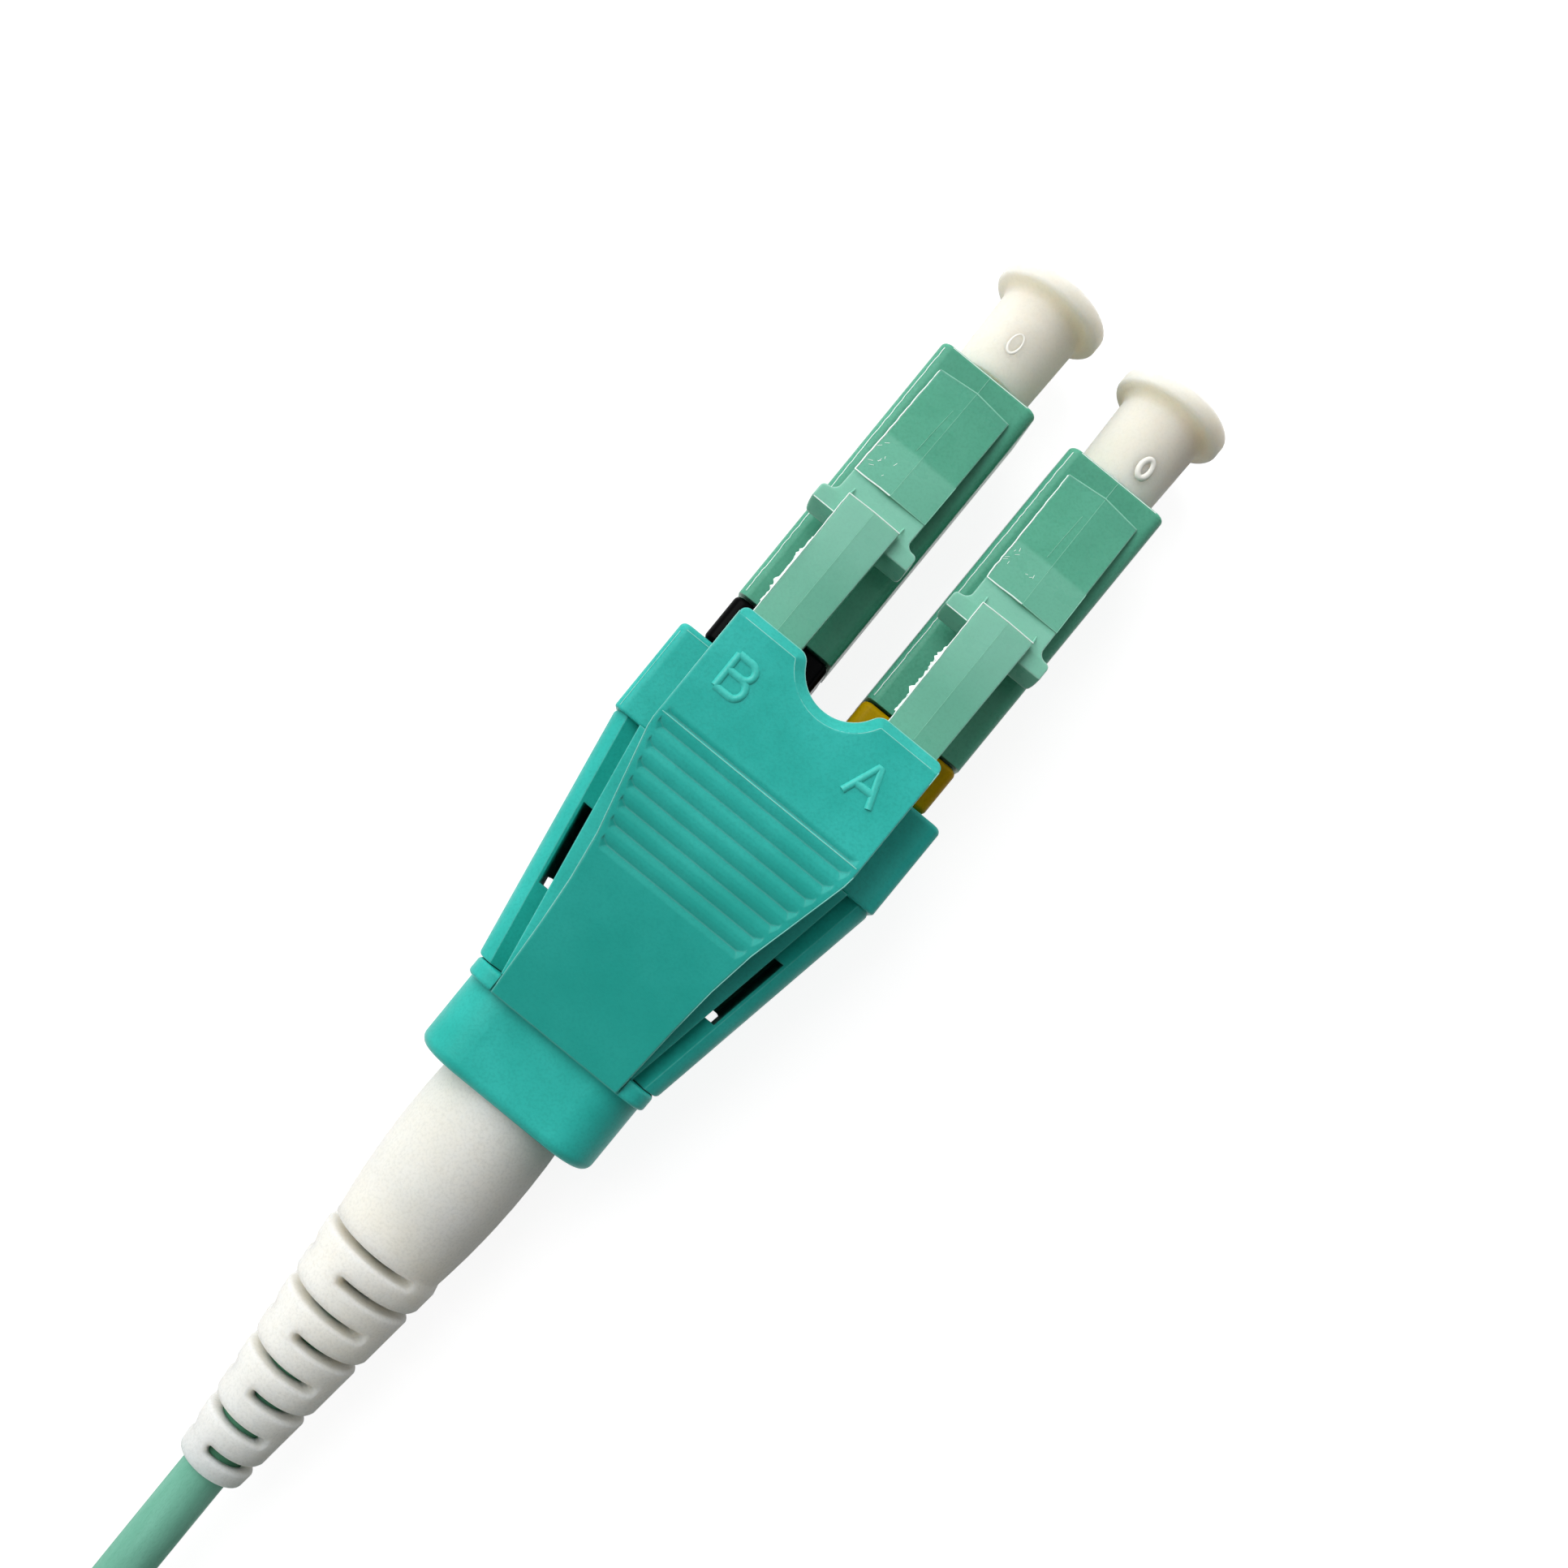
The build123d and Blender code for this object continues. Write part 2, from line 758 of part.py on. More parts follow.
# Front block: two round sockets in which the rear bodies' necks sit
with BuildPart() as front_block:
    with BuildSketch(behind(block_front)):
        RectangleRounded(block_width, block_height, block_edge_radius)
    extrude(amount=block_length)
    fillet(front_block.faces().sort_by(Axis.Y)[-1].edges(), block_rim_radius)
    fillet(front_block.faces().sort_by(Axis.Y)[0].edges(), block_rear_edge_radius)
    with BuildSketch(behind(block_front)):
        with Locations((-half_spacing, 0), (half_spacing, 0)):
            Circle(neck_radius + running_clearance)
    extrude(amount=block_length - block_floor, mode=Mode.SUBTRACT)
    with BuildSketch(behind(block_front)):
        with Locations((-half_spacing, 0), (half_spacing, 0)):
            Circle(block_passage_radius)
    extrude(amount=block_length, mode=Mode.SUBTRACT)
save(front_block, "front_block")

save(rear_shell(Keep.TOP), "rear_shell_upper")
save(rear_shell(Keep.BOTTOM), "rear_shell_lower")

# Collar: a rounded ring around the shells' spigot and the boot's front, with a rim and two tabs
rim_height = tab_top - base_level
with BuildPart() as collar_rim:
    with BuildSketch(behind(rim_front)):
        with Locations((0, tab_top - rim_height / 2)):
            RectangleRounded(collar_width + 2 * collar_rim_proud, rim_height, collar_rim_corner)
    extrude(amount=collar_rim_length)
    fillet(collar_rim.faces().sort_by(Axis.Y)[-1].edges(), collar_rim_edge)
    fillet(collar_rim.faces().sort_by(Axis.Y)[0].edges(), collar_rim_edge)
    with BuildSketch(behind(rim_front)):
        with Locations((0, rim_top + rim_height / 2)):
            Rectangle(trigger_root_width + 2 * trigger_root_clearance, rim_height)
    extrude(amount=collar_rim_length, mode=Mode.SUBTRACT)

with BuildPart() as collar:
    with BuildSketch(behind(collar_front)):
        RectangleRounded(collar_width, block_height, collar_corner)
    extrude(amount=collar_length)
    fillet(collar.faces().sort_by(Axis.Y)[0].edges(), collar_rear_fillet)
    with BuildSketch(behind(collar_front)):
        RectangleRounded(collar_width, block_height, collar_corner)
    extrude(amount=-collar_rim_length)
    add(collar_rim.part)
    with BuildSketch(behind(rim_front)):
        RectangleRounded(
            spigot_width + 2 * spigot_clearance, spigot_height + 2 * spigot_clearance, spigot_corner
        )
    extrude(amount=collar_rear - collar_boot_seat - rim_front, mode=Mode.SUBTRACT)
    with BuildSketch(behind(collar_rear - collar_boot_seat)):
        Circle(boot_front_radius + running_clearance)
    extrude(amount=collar_boot_seat, mode=Mode.SUBTRACT)
save(collar, "collar")

# Trigger: a tapered lever with a notched head, grip grooves and a thin root on the collar
flank_reach = trigger_rear - trigger_waist
flank_narrowing = (trigger_waist_width - trigger_root_width) / 2
flank_points = [(trigger_waist_width / 2, -trigger_waist)]
for reach_share, width_share in trigger_flank_shares:
    flank_points.append(
        (trigger_root_width / 2 + width_share * flank_narrowing, -(trigger_waist + reach_share * flank_reach))
    )
flank_points.append((trigger_root_width / 2, -trigger_rear))


def trigger_half_width(back):
    if back < trigger_straight_end:
        return trigger_width / 2
    return half_width_at(
        back, trigger_straight_end, trigger_width / 2, trigger_waist, trigger_waist_width / 2
    )


def crest_level(back):
    """The height of the head's rear end and of the grip's slope behind it."""
    if back < head_rear:
        return head_rear_top
    return half_width_at(back, head_rear, head_rear_top, grip_rear, grip_rear_top)


def groove_cutter(valley_back, front_reach, rear_reach):
    """One grip groove: two rounded shoulders that meet in a sharp valley and fade at both ends."""
    valley = crest_level(valley_back) - grip_depth
    half_length = trigger_half_width(valley_back) - grip_margin
    ends = (valley_back - front_reach, valley_back + rear_reach)
    rims = [(-back, crest_level(back) + groove_overlap) for back in ends]
    middles = [(back + valley_back) / 2 for back in ends]
    shoulders = [(-back, crest_level(back) - groove_shoulder_drop) for back in middles]
    above = crest_level(ends[0]) + grip_depth
    with BuildPart() as cutter:
        with BuildSketch(Plane.YZ):
            with BuildLine():
                ThreePointArc(rims[0], shoulders[0], (-valley_back, valley))
                ThreePointArc((-valley_back, valley), shoulders[1], rims[1])
                Polyline(rims[1], (rims[1][0], above), (rims[0][0], above), rims[0])
            make_face()
        extrude(amount=half_length, both=True)
        with BuildSketch(behind(ends[0])):
            with BuildLine():
                Polyline(
                    (2 * groove_fade_length - half_length, valley - grip_depth),
                    (half_length - 2 * groove_fade_length, valley - grip_depth),
                    (half_length + groove_fade_length, valley + 2 * grip_depth),
                    (-half_length - groove_fade_length, valley + 2 * grip_depth),
                    close=True,
                )
            make_face()
        extrude(amount=front_reach + rear_reach, mode=Mode.INTERSECT)
    return cutter


with BuildPart() as trigger:
    with BuildSketch(Plane.XY) as plan:
        with BuildLine():
            Polyline(
                (0, -trigger_front),
                (trigger_width / 2, -trigger_front),
                (trigger_width / 2, -trigger_straight_end),
                flank_points[0],
            )
            Spline(flank_points)
            Polyline(flank_points[-1], (0, -trigger_rear), (0, -trigger_front))
        make_face()
        notch_radius = (notch_half_width**2 + notch_depth**2) / (2 * notch_depth)
        with Locations((0, notch_radius - notch_depth - trigger_front)):
            Circle(notch_radius, mode=Mode.SUBTRACT)
        mirror(about=Plane.YZ)
        front_corners = plan.vertices().filter_by(lambda v: abs(v.Y + trigger_front) < seam_gap)
        lip_corners = front_corners.filter_by(lambda v: abs(v.X) < trigger_width / 2 - seam_gap)
        fillet(lip_corners, notch_lip_fillet)
        bends = plan.vertices().filter_by(lambda v: abs(v.Y + trigger_straight_end) < seam_gap)
        fillet(bends, trigger_flank_fillet)
    extrude(amount=block_height + plug_spacing)
    under_points = [(-trigger_front - back, collar_top + rise) for back, rise in trigger_under_stations]
    with BuildSketch(Plane.YZ):
        with BuildLine():
            Polyline(
                (-trigger_front, trigger_head_under),
                (-trigger_front, trigger_front_top),
                (-head_rear, head_rear_top),
                (-grip_rear, grip_rear_top),
                (-trigger_rear, trigger_root_top),
                (-trigger_rear, trigger_root_under),
                *reversed(under_points),
                close=True,
            )
        make_face()
    extrude(amount=trigger_width, both=True, mode=Mode.INTERSECT)
    head_top = trigger.faces().sort_by(Axis.Z)[-1]
    head_edges = head_top.edges().filter_by(lambda edge: abs(edge.center().X) < trigger_width / 2 - seam_gap)
    front_edges = head_edges.filter_by(lambda edge: edge.center().Y > -trigger_front - notch_depth - seam_gap)
    chamfer(front_edges, trigger_bevel_length, trigger_bevel_drop, reference=head_top)
    uprights = trigger.edges().filter_by(Axis.Z)
    front_uprights = uprights.filter_by(lambda edge: edge.center().Y > -trigger_front - seam_gap)
    fillet(
        front_uprights.filter_by(lambda edge: abs(edge.center().X) > trigger_width / 2 - seam_gap),
        trigger_front_corner,
    )
    grooves = [(head_rear, head_slope_length, head_rise_length)]
    for groove in range(grip_count):
        groove_back = head_rear + grip_first_setback + groove * grip_spacing
        grooves.append((groove_back, groove_reach, groove_reach))
    for groove_back, front_reach, rear_reach in grooves:
        add(groove_cutter(groove_back, front_reach, rear_reach).part, mode=Mode.SUBTRACT)
save(trigger, "trigger")

# Crimp post and sleeve, which clamp the cable
save(
    turned(
        [
            (post_bore_radius, post_front),
            (post_radius, post_front),
            (post_radius, post_flange_front),
            (post_flange_radius, post_flange_front),
            (post_flange_radius, post_flange_front + post_flange_length),
            (post_radius, post_flange_front + post_flange_length),
            (post_radius, post_rear),
            (post_bore_radius, post_rear),
        ]
    ),
    "crimp_post",
)
save(
    turned(
        [
            (post_radius + running_clearance, sleeve_front),
            (sleeve_radius, sleeve_front),
            (sleeve_radius, sleeve_shoulder),
            (sleeve_neck_radius, sleeve_shoulder + sleeve_radius - sleeve_neck_radius),
            (sleeve_neck_radius, sleeve_rear),
            (cable_radius + running_clearance, sleeve_rear),
            (cable_radius + running_clearance, sleeve_shoulder),
            (post_radius + running_clearance, sleeve_shoulder),
        ]
    ),
    "crimp_sleeve",
)

# Boot: a barrel, a tapered tail and rows of slots that let it bend
with BuildPart() as boot:
    with BuildSketch(Plane.XY):
        with BuildLine():
            Line((boot_front_radius, -boot_front), (boot_front_radius, -collar_rear))
            Spline(
                (boot_front_radius, -collar_rear),
                (boot_belly_radius, -boot_belly),
                (boot_neck_radius, -boot_neck),
            )
            Polyline(
                (boot_neck_radius, -boot_neck),
                (boot_ring_radius, -boot_ring),
                (boot_tip_radius, -boot_rear),
                (cable_radius + boot_bore_rear_clearance, -boot_rear),
                (cable_radius + boot_bore_rear_clearance, -(boot_cavity_rear + boot_cone_length)),
                (sleeve_radius + running_clearance, -boot_cavity_rear),
                (sleeve_radius + running_clearance, -boot_front),
                (boot_front_radius, -boot_front),
            )
        make_face()
    revolve(axis=Axis.Y)
    fillet(rim_edges(boot, boot_tip_radius, boot_rear), boot_tip_fillet)
    for row in range(slot_rows):
        slot_back = slot_first + row * slot_spacing + slot_width / 2
        lip_points = slot_lip(boot_radius(slot_back))
        for first_angle, last_angle in even_row_slots if row % 2 else odd_row_slots:
            direction, square = outward(first_angle)
            with BuildSketch(Plane(origin=(0, -slot_back, 0), x_dir=direction, z_dir=square)):
                with BuildLine():
                    Line((0, 0), (0, slot_width / 2))
                    Line((0, slot_width / 2), lip_points[0])
                    ThreePointArc(*lip_points[:3])
                    Polyline(lip_points[2], lip_points[3], (lip_points[3][0], 0), (0, 0))
                make_face()
                mirror(about=Plane.XZ)
            revolve(
                axis=Axis((0, 0, 0), (0, -1, 0)),
                revolution_arc=last_angle - first_angle,
                mode=Mode.SUBTRACT,
            )
            for angle in (first_angle, last_angle):
                direction, square = outward(angle)
                with BuildSketch(Plane(origin=(0, -slot_back, 0), x_dir=direction, z_dir=square)):
                    with BuildLine():
                        Line((0, 0), (0, slot_width / 2))
                        Line((0, slot_width / 2), lip_points[0])
                        ThreePointArc(*lip_points[:3])
                        Polyline(lip_points[2], lip_points[3], (lip_points[3][0], 0), (0, 0))
                    make_face()
                revolve(axis=Axis((0, -slot_back, 0), direction), mode=Mode.SUBTRACT)
save(boot, "boot")

# Cable: the end held in the boot, the free run down to the surface, and the coil
save(
    turned(
        [
            (0, cable_jacket_start),
            (cable_radius, cable_jacket_start),
            (cable_radius, cable_exit_back),
            (0, cable_exit_back),
        ]
    ),
    "cable_in_boot",
)

# The free run meets the coil's outer turn along its tangent
cable_level = base_level + cable_radius + seam_gap / 2
turn_radius = coil_outer_radius - cable_radius - seam_gap
landing = Vector(0, -cable_floor_back, cable_level)
lead_direction = Vector(0, -1, 0).rotate(Axis.Z, -cable_lead_angle)
lead_end = landing + lead_direction * cable_lead_length
coil_side = Vector(1, 0, 0).rotate(Axis.Z, -cable_lead_angle)
coil_centre = lead_end + lead_direction * coil_stub_length + coil_side * turn_radius
print("coil centre", coil_centre)
route = [
    Vector(0, -cable_exit_back, 0),
    Vector(0, -cable_droop_back, 0),
    landing,
    lead_end,
]
arc_radii = []
for before, corner, after in zip(route, route[1:], route[2:]):
    bend = math.radians((corner - before).get_angle(after - corner))
    shorter = min((corner - before).length, (after - corner).length)
    arc_radii.append(route_arc_share * shorter / math.tan(bend / 2))
print("cable arc radii", [round(radius, 2) for radius in arc_radii])

with BuildPart() as cable:
    with BuildLine() as cable_path:
        cable_run = FilletPolyline(*route, radius=arc_radii)
    with BuildSketch(Plane(origin=cable_run @ 0, z_dir=cable_run % 0)):
        Circle(cable_radius)
    sweep(path=cable_run)
save(cable, "cable")
cable_section = math.pi * cable_radius**2
print("cable volume over section times length", cable.part.volume / (cable_section * cable_run.length))

with BuildPart() as cable_coil:
    coil_base = (coil_centre.X, coil_centre.Y, base_level)
    top_inner = coil_outer_radius - coil_top_width
    with BuildSketch(Plane(origin=coil_base, x_dir=(1, 0, 0), z_dir=(0, -1, 0))):
        with BuildLine():
            Polyline(
                (coil_inner_radius, 0),
                (coil_outer_radius, 0),
                (coil_outer_radius, coil_layers_height + coil_top_height),
                (top_inner, coil_layers_height + coil_top_height),
                (top_inner, coil_layers_height),
                (coil_inner_radius, coil_layers_height),
                close=True,
            )
        make_face()
    revolve(axis=Axis(coil_base, (0, 0, 1)))
    step_level = base_level + coil_layers_height
    rings = cable_coil.edges().filter_by(GeomType.CIRCLE)
    fillet(rings.filter_by(lambda edge: edge.center().Z > step_level + seam_gap), coil_edge)
    rings = cable_coil.edges().filter_by(GeomType.CIRCLE)
    fillet(rings.filter_by(lambda edge: edge.center().Z < base_level + seam_gap), coil_edge)
    with BuildSketch(Plane(origin=lead_end, z_dir=lead_direction)):
        Circle(cable_radius)
    extrude(amount=coil_stub_length)
save(cable_coil, "cable_coil")
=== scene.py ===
import math
import random

import bmesh
import bpy
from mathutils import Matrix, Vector


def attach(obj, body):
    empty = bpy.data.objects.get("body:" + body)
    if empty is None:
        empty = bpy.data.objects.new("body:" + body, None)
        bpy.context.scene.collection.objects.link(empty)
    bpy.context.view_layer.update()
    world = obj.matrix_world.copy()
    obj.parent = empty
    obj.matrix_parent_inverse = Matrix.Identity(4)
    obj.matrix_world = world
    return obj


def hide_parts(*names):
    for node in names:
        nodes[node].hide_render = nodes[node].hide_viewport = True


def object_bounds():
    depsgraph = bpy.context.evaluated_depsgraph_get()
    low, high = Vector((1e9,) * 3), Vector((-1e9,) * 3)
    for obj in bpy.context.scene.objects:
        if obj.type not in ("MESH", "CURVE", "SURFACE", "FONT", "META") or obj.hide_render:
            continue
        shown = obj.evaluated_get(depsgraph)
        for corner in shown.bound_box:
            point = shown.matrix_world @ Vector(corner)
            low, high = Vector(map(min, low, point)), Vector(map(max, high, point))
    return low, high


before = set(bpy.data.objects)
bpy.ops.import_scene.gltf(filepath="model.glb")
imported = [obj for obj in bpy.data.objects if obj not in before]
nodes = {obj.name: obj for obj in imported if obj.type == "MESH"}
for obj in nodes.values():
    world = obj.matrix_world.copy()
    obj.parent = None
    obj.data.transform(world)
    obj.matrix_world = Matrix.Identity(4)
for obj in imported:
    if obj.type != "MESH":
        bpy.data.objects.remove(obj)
cad_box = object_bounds()
MM = 0.001


def metres(place):
    """A place in metres, from one written in millimetres."""
    return tuple(value * MM for value in place)


# Camera: straight above the connector, close enough that the caps' rear faces show
CAMERA_PLACE = (0.54, -23.87, 62.3)
CAMERA_TURN = 39.3
camera_data = bpy.data.cameras.new("camera")
camera_data.sensor_fit = "HORIZONTAL"
camera_data.sensor_width = 36.0
camera_data.lens = 36.56
camera_data.shift_x = 0.0751
camera_data.shift_y = 0.0917
camera_data.clip_start = 0.002
camera_data.clip_end = 10.0
camera = bpy.data.objects.new("camera", camera_data)
camera.location = metres(CAMERA_PLACE)
camera.rotation_euler = (0.0, 0.0, math.radians(CAMERA_TURN))
bpy.context.scene.collection.objects.link(camera)
bpy.context.scene.camera = camera


# Light: one large soft lamp beside plug B
KEY_PLACE = (-0.25, 0.12, 0.34)
KEY_AIM = (0.0, -0.022, 0.0)
lamp_data = bpy.data.lights.new("key_light", "AREA")
lamp_data.shape = "DISK"
lamp_data.size = 0.40
lamp_data.energy = 1.38
lamp = bpy.data.objects.new("key_light", lamp_data)
lamp.location = KEY_PLACE
lamp.rotation_euler = (Vector(KEY_AIM) - Vector(KEY_PLACE)).to_track_quat("-Z", "Y").to_euler()
bpy.context.scene.collection.objects.link(lamp)


# Node helpers, shared by the room, the floor and the materials
def combined(tree, operation, first, second):
    """The sum, product or larger one of two values."""
    node = tree.nodes.new("ShaderNodeMath")
    node.operation = operation
    tree.links.new(first, node.inputs[0])
    tree.links.new(second, node.inputs[1])
    return node.outputs["Value"]


def ranged(tree, value, start, end, first, last, softly=False):
    """A value that runs from first to last while the given one runs from start to end."""
    node = tree.nodes.new("ShaderNodeMapRange")
    node.interpolation_type = "SMOOTHSTEP" if softly else "LINEAR"
    tree.links.new(value, node.inputs["Value"])
    for socket, number in (("From Min", start), ("From Max", end), ("To Min", first), ("To Max", last)):
        node.inputs[socket].default_value = number
    return node.outputs["Result"]


def dotted(tree, first, second):
    """The dot product of a direction with another one, or with three numbers."""
    node = tree.nodes.new("ShaderNodeVectorMath")
    node.operation = "DOT_PRODUCT"
    tree.links.new(first, node.inputs[0])
    if isinstance(second, tuple):
        node.inputs[1].default_value = second
    else:
        tree.links.new(second, node.inputs[1])
    return node.outputs["Value"]


def noise(tree, place, scale, detail, roughness=0.5):
    """A noise pattern, from 0 to 1."""
    node = tree.nodes.new("ShaderNodeTexNoise")
    node.inputs["Scale"].default_value = scale
    node.inputs["Detail"].default_value = detail
    node.inputs["Roughness"].default_value = roughness
    tree.links.new(place, node.inputs["Vector"])
    return node.outputs["Fac"]


def ramp(tree, value, stops):
    """A colour that follows a value through stops of a position and a colour."""
    node = tree.nodes.new("ShaderNodeValToRGB")
    elements = node.color_ramp.elements
    while len(elements) < len(stops):
        elements.new(0.5)
    for element, (position, colour) in zip(elements, stops):
        element.position = position
        element.color = colour
    tree.links.new(value, node.inputs["Fac"])
    return node.outputs["Color"]


def tinted(tree, base, tint, share):
    """A base colour that gives way to a tint by a share."""
    node = tree.nodes.new("ShaderNodeMix")
    node.data_type = "RGBA"
    node.inputs["B"].default_value = tint
    tree.links.new(share, node.inputs["Factor"])
    tree.links.new(base, node.inputs["A"])
    return node.outputs["Result"]


def bumped(tree, height, strength, distance, normal=None):
    """A normal bent by a pattern, by a distance in millimetres."""
    node = tree.nodes.new("ShaderNodeBump")
    node.inputs["Strength"].default_value = strength
    node.inputs["Distance"].default_value = distance * MM
    tree.links.new(height, node.inputs["Height"])
    if normal is not None:
        tree.links.new(normal, node.inputs["Normal"])
    return node.outputs["Normal"]


def shown_white(tree, lit, shown, surface):
    """A surface that lights the scene with one shader and shows another one where it is seen.

    Seen means from the camera, in a reflection or through glass.
    """
    ray = tree.nodes.new("ShaderNodeLightPath")
    seen = combined(tree, "MAXIMUM", ray.outputs["Is Camera Ray"], ray.outputs["Is Glossy Ray"])
    seen = combined(tree, "MAXIMUM", seen, ray.outputs["Is Transmission Ray"])
    choose = tree.nodes.new("ShaderNodeMixShader")
    tree.links.new(seen, choose.inputs["Fac"])
    tree.links.new(lit, choose.inputs[1])
    tree.links.new(shown, choose.inputs[2])
    tree.links.new(choose.outputs["Shader"], surface)


# Room: bright walls beside plug B that darken towards plug A, with more light overhead and low at both ends
PLUG_B_SIDE = (-0.88, 0.48, 0.0)
world = bpy.data.worlds.new("room")
bpy.context.scene.world = world
world.use_nodes = True
tree = world.node_tree
tree.nodes.clear()
coords = tree.nodes.new("ShaderNodeTexCoord")
parts = tree.nodes.new("ShaderNodeSeparateXYZ")
tree.links.new(coords.outputs["Generated"], parts.inputs["Vector"])
side = dotted(tree, coords.outputs["Generated"], PLUG_B_SIDE)
height = parts.outputs["Z"]
lengthwise = parts.outputs["Y"]
side_level = ranged(tree, side, start=-0.6, end=0.9, first=0.01, last=0.96, softly=True)
overhead = ranged(tree, height, start=0.60, end=0.86, first=1.0, last=1.5, softly=True)
walls = combined(tree, "MULTIPLY", overhead, side_level)
low = ranged(tree, height, start=0.25, end=0.65, first=2.4, last=0.0, softly=True)
end_side = ranged(tree, side, start=-0.5, end=0.5, first=0.35, last=1.15, softly=True)
end_level = combined(tree, "MULTIPLY", combined(tree, "MULTIPLY", lengthwise, lengthwise), low)
ends = combined(tree, "MULTIPLY", end_level, end_side)
room = tree.nodes.new("ShaderNodeBackground")
tree.links.new(combined(tree, "ADD", walls, ends), room.inputs["Strength"])
white_room = tree.nodes.new("ShaderNodeBackground")
white_room.inputs["Color"].default_value = (1.0, 1.0, 1.0, 1.0)
out = tree.nodes.new("ShaderNodeOutputWorld")
shown_white(tree, room.outputs["Background"], white_room.outputs["Background"], out.inputs["Surface"])

bpy.context.scene.view_settings.view_transform = "Standard"


# Materials
def linear(red, green, blue):
    """A colour given as eight-bit values, for Blender's linear sockets."""
    channels = []
    for value in (red, green, blue):
        share = value / 255.0
        channels.append(share / 12.92 if share <= 0.04045 else ((share + 0.055) / 1.055) ** 2.4)
    return (*channels, 1.0)


def darker(colour, share):
    """A colour at a share of its brightness."""
    return (*(share * value for value in colour[:3]), 1.0)


def painted_light_and_scuff_along(tree, coords, base, painted_light_and_scuff):
    """A base colour that turns towards another one by shares given at places along Y, in millimetres, to
    paint shade and light along a piece; on the latch arms' tails the paler colour is also scuffing.
    """
    second_colour, places = painted_light_and_scuff
    first, last = places[0][0], places[-1][0]
    place = tree.nodes.new("ShaderNodeSeparateXYZ")
    tree.links.new(coords.outputs["Object"], place.inputs["Vector"])
    along = ranged(tree, place.outputs["Y"], first * MM, last * MM, 0.0, 1.0)
    stops = [((where - first) / (last - first), (share, share, share, 1.0)) for where, share in places]
    return tinted(tree, base, second_colour, ramp(tree, along, stops))


HIGHLIGHT_LEAST, HIGHLIGHT_SHARE = 0.45, 0.75


def painted_edge_highlight(tree, base, soft_normal, colour, share):
    """A base colour with a painted highlight where the surface turns over an edge."""
    plain = tree.nodes.new("ShaderNodeNewGeometry")
    facing = dotted(tree, soft_normal, plain.outputs["Normal"])
    rim = ranged(tree, facing, start=1.0, end=0.80, first=0.0, last=share)
    highlight = (*(min(1.0, HIGHLIGHT_LEAST + HIGHLIGHT_SHARE * value) for value in colour[:3]), 1.0)
    return tinted(tree, base, highlight, rim)


MOTTLE = 0.35
SPECK_SHADE = 0.72
GLOSS_SPREAD = 0.18
GRAIN_DEPTH = 0.012
WAVE_DEPTH, WAVE_STRENGTH = 0.05, 0.5


def moulded(
    name, colour, deep, roughness, grain=0.5, edge=0.05, edge_highlight=0.0, specular=0.5, subsurface=0.0,
    depth=0.35, streaks=(1.0, 1.0, 1.0), speckle=0.3, warm=0.0, painted_light_and_scuff=None,
):
    """A moulded plastic: two close tones, a fine grain, softened edges, slightly uneven gloss and, where
    asked, a painted highlight on edges.

    streaks stretches the pattern along an axis, speckle is the share of dark specks, and warm reddens
    the light inside. The edge share paints that highlight where the surface turns over an edge. The second
    colour given with its shares at places along Y, in millimetres, paints shade and light along the piece; on
    the latch arms' tails it is also scuffing.
    """
    material = bpy.data.materials.new(name)
    material.use_nodes = True
    tree = material.node_tree
    shader = tree.nodes["Principled BSDF"]
    shader.inputs["IOR"].default_value = 1.5
    shader.inputs["Specular IOR Level"].default_value = specular
    shader.inputs["Subsurface Weight"].default_value = subsurface
    shader.inputs["Subsurface Radius"].default_value = (1.0, 0.9 - warm, 0.8 - 2 * warm)
    shader.inputs["Subsurface Scale"].default_value = depth * MM

    coords = tree.nodes.new("ShaderNodeTexCoord")
    mapping = tree.nodes.new("ShaderNodeMapping")
    mapping.inputs["Scale"].default_value = tuple(value / MM for value in streaks)
    tree.links.new(coords.outputs["Object"], mapping.inputs["Vector"])
    place = mapping.outputs["Vector"]

    broad = noise(tree, place, scale=0.32, detail=3.0, roughness=0.6)
    base = ramp(tree, broad, [(0.5 - MOTTLE / 2, deep), (0.5 + MOTTLE / 2, colour)])
    fine = noise(tree, place, scale=9.0, detail=3.0)
    specks = ranged(tree, fine, start=0.45, end=0.70, first=0.0, last=speckle)
    base = tinted(tree, base, darker(deep, SPECK_SHADE), specks)
    if painted_light_and_scuff:
        base = painted_light_and_scuff_along(tree, coords, base, painted_light_and_scuff)
    soft = tree.nodes.new("ShaderNodeBevel")
    soft.samples = 6
    soft.inputs["Radius"].default_value = edge * MM
    if edge_highlight:
        base = painted_edge_highlight(tree, base, soft.outputs["Normal"], colour, edge_highlight)
    tree.links.new(base, shader.inputs["Base Color"])

    gloss = noise(tree, place, scale=1.1, detail=4.0)
    low, high = roughness * (1 - GLOSS_SPREAD), roughness * (1 + GLOSS_SPREAD)
    uneven = ranged(tree, gloss, start=0.3, end=0.7, first=low, last=high)
    tree.links.new(uneven, shader.inputs["Roughness"])

    normal = bumped(tree, fine, grain, GRAIN_DEPTH, soft.outputs["Normal"])
    wave = noise(tree, place, scale=0.55, detail=2.0)
    normal = bumped(tree, wave, WAVE_STRENGTH, WAVE_DEPTH, normal)
    tree.links.new(normal, shader.inputs["Normal"])
    return material


TEAL = linear(52, 184, 174)
TEAL_DEEP = linear(38, 170, 159)
# The teal pieces' edges get a painted highlight.
TEAL_SURFACE = {"roughness": 0.38, "edge_highlight": 0.2, "specular": 0.15, "subsurface": 0.25, "depth": 0.5}
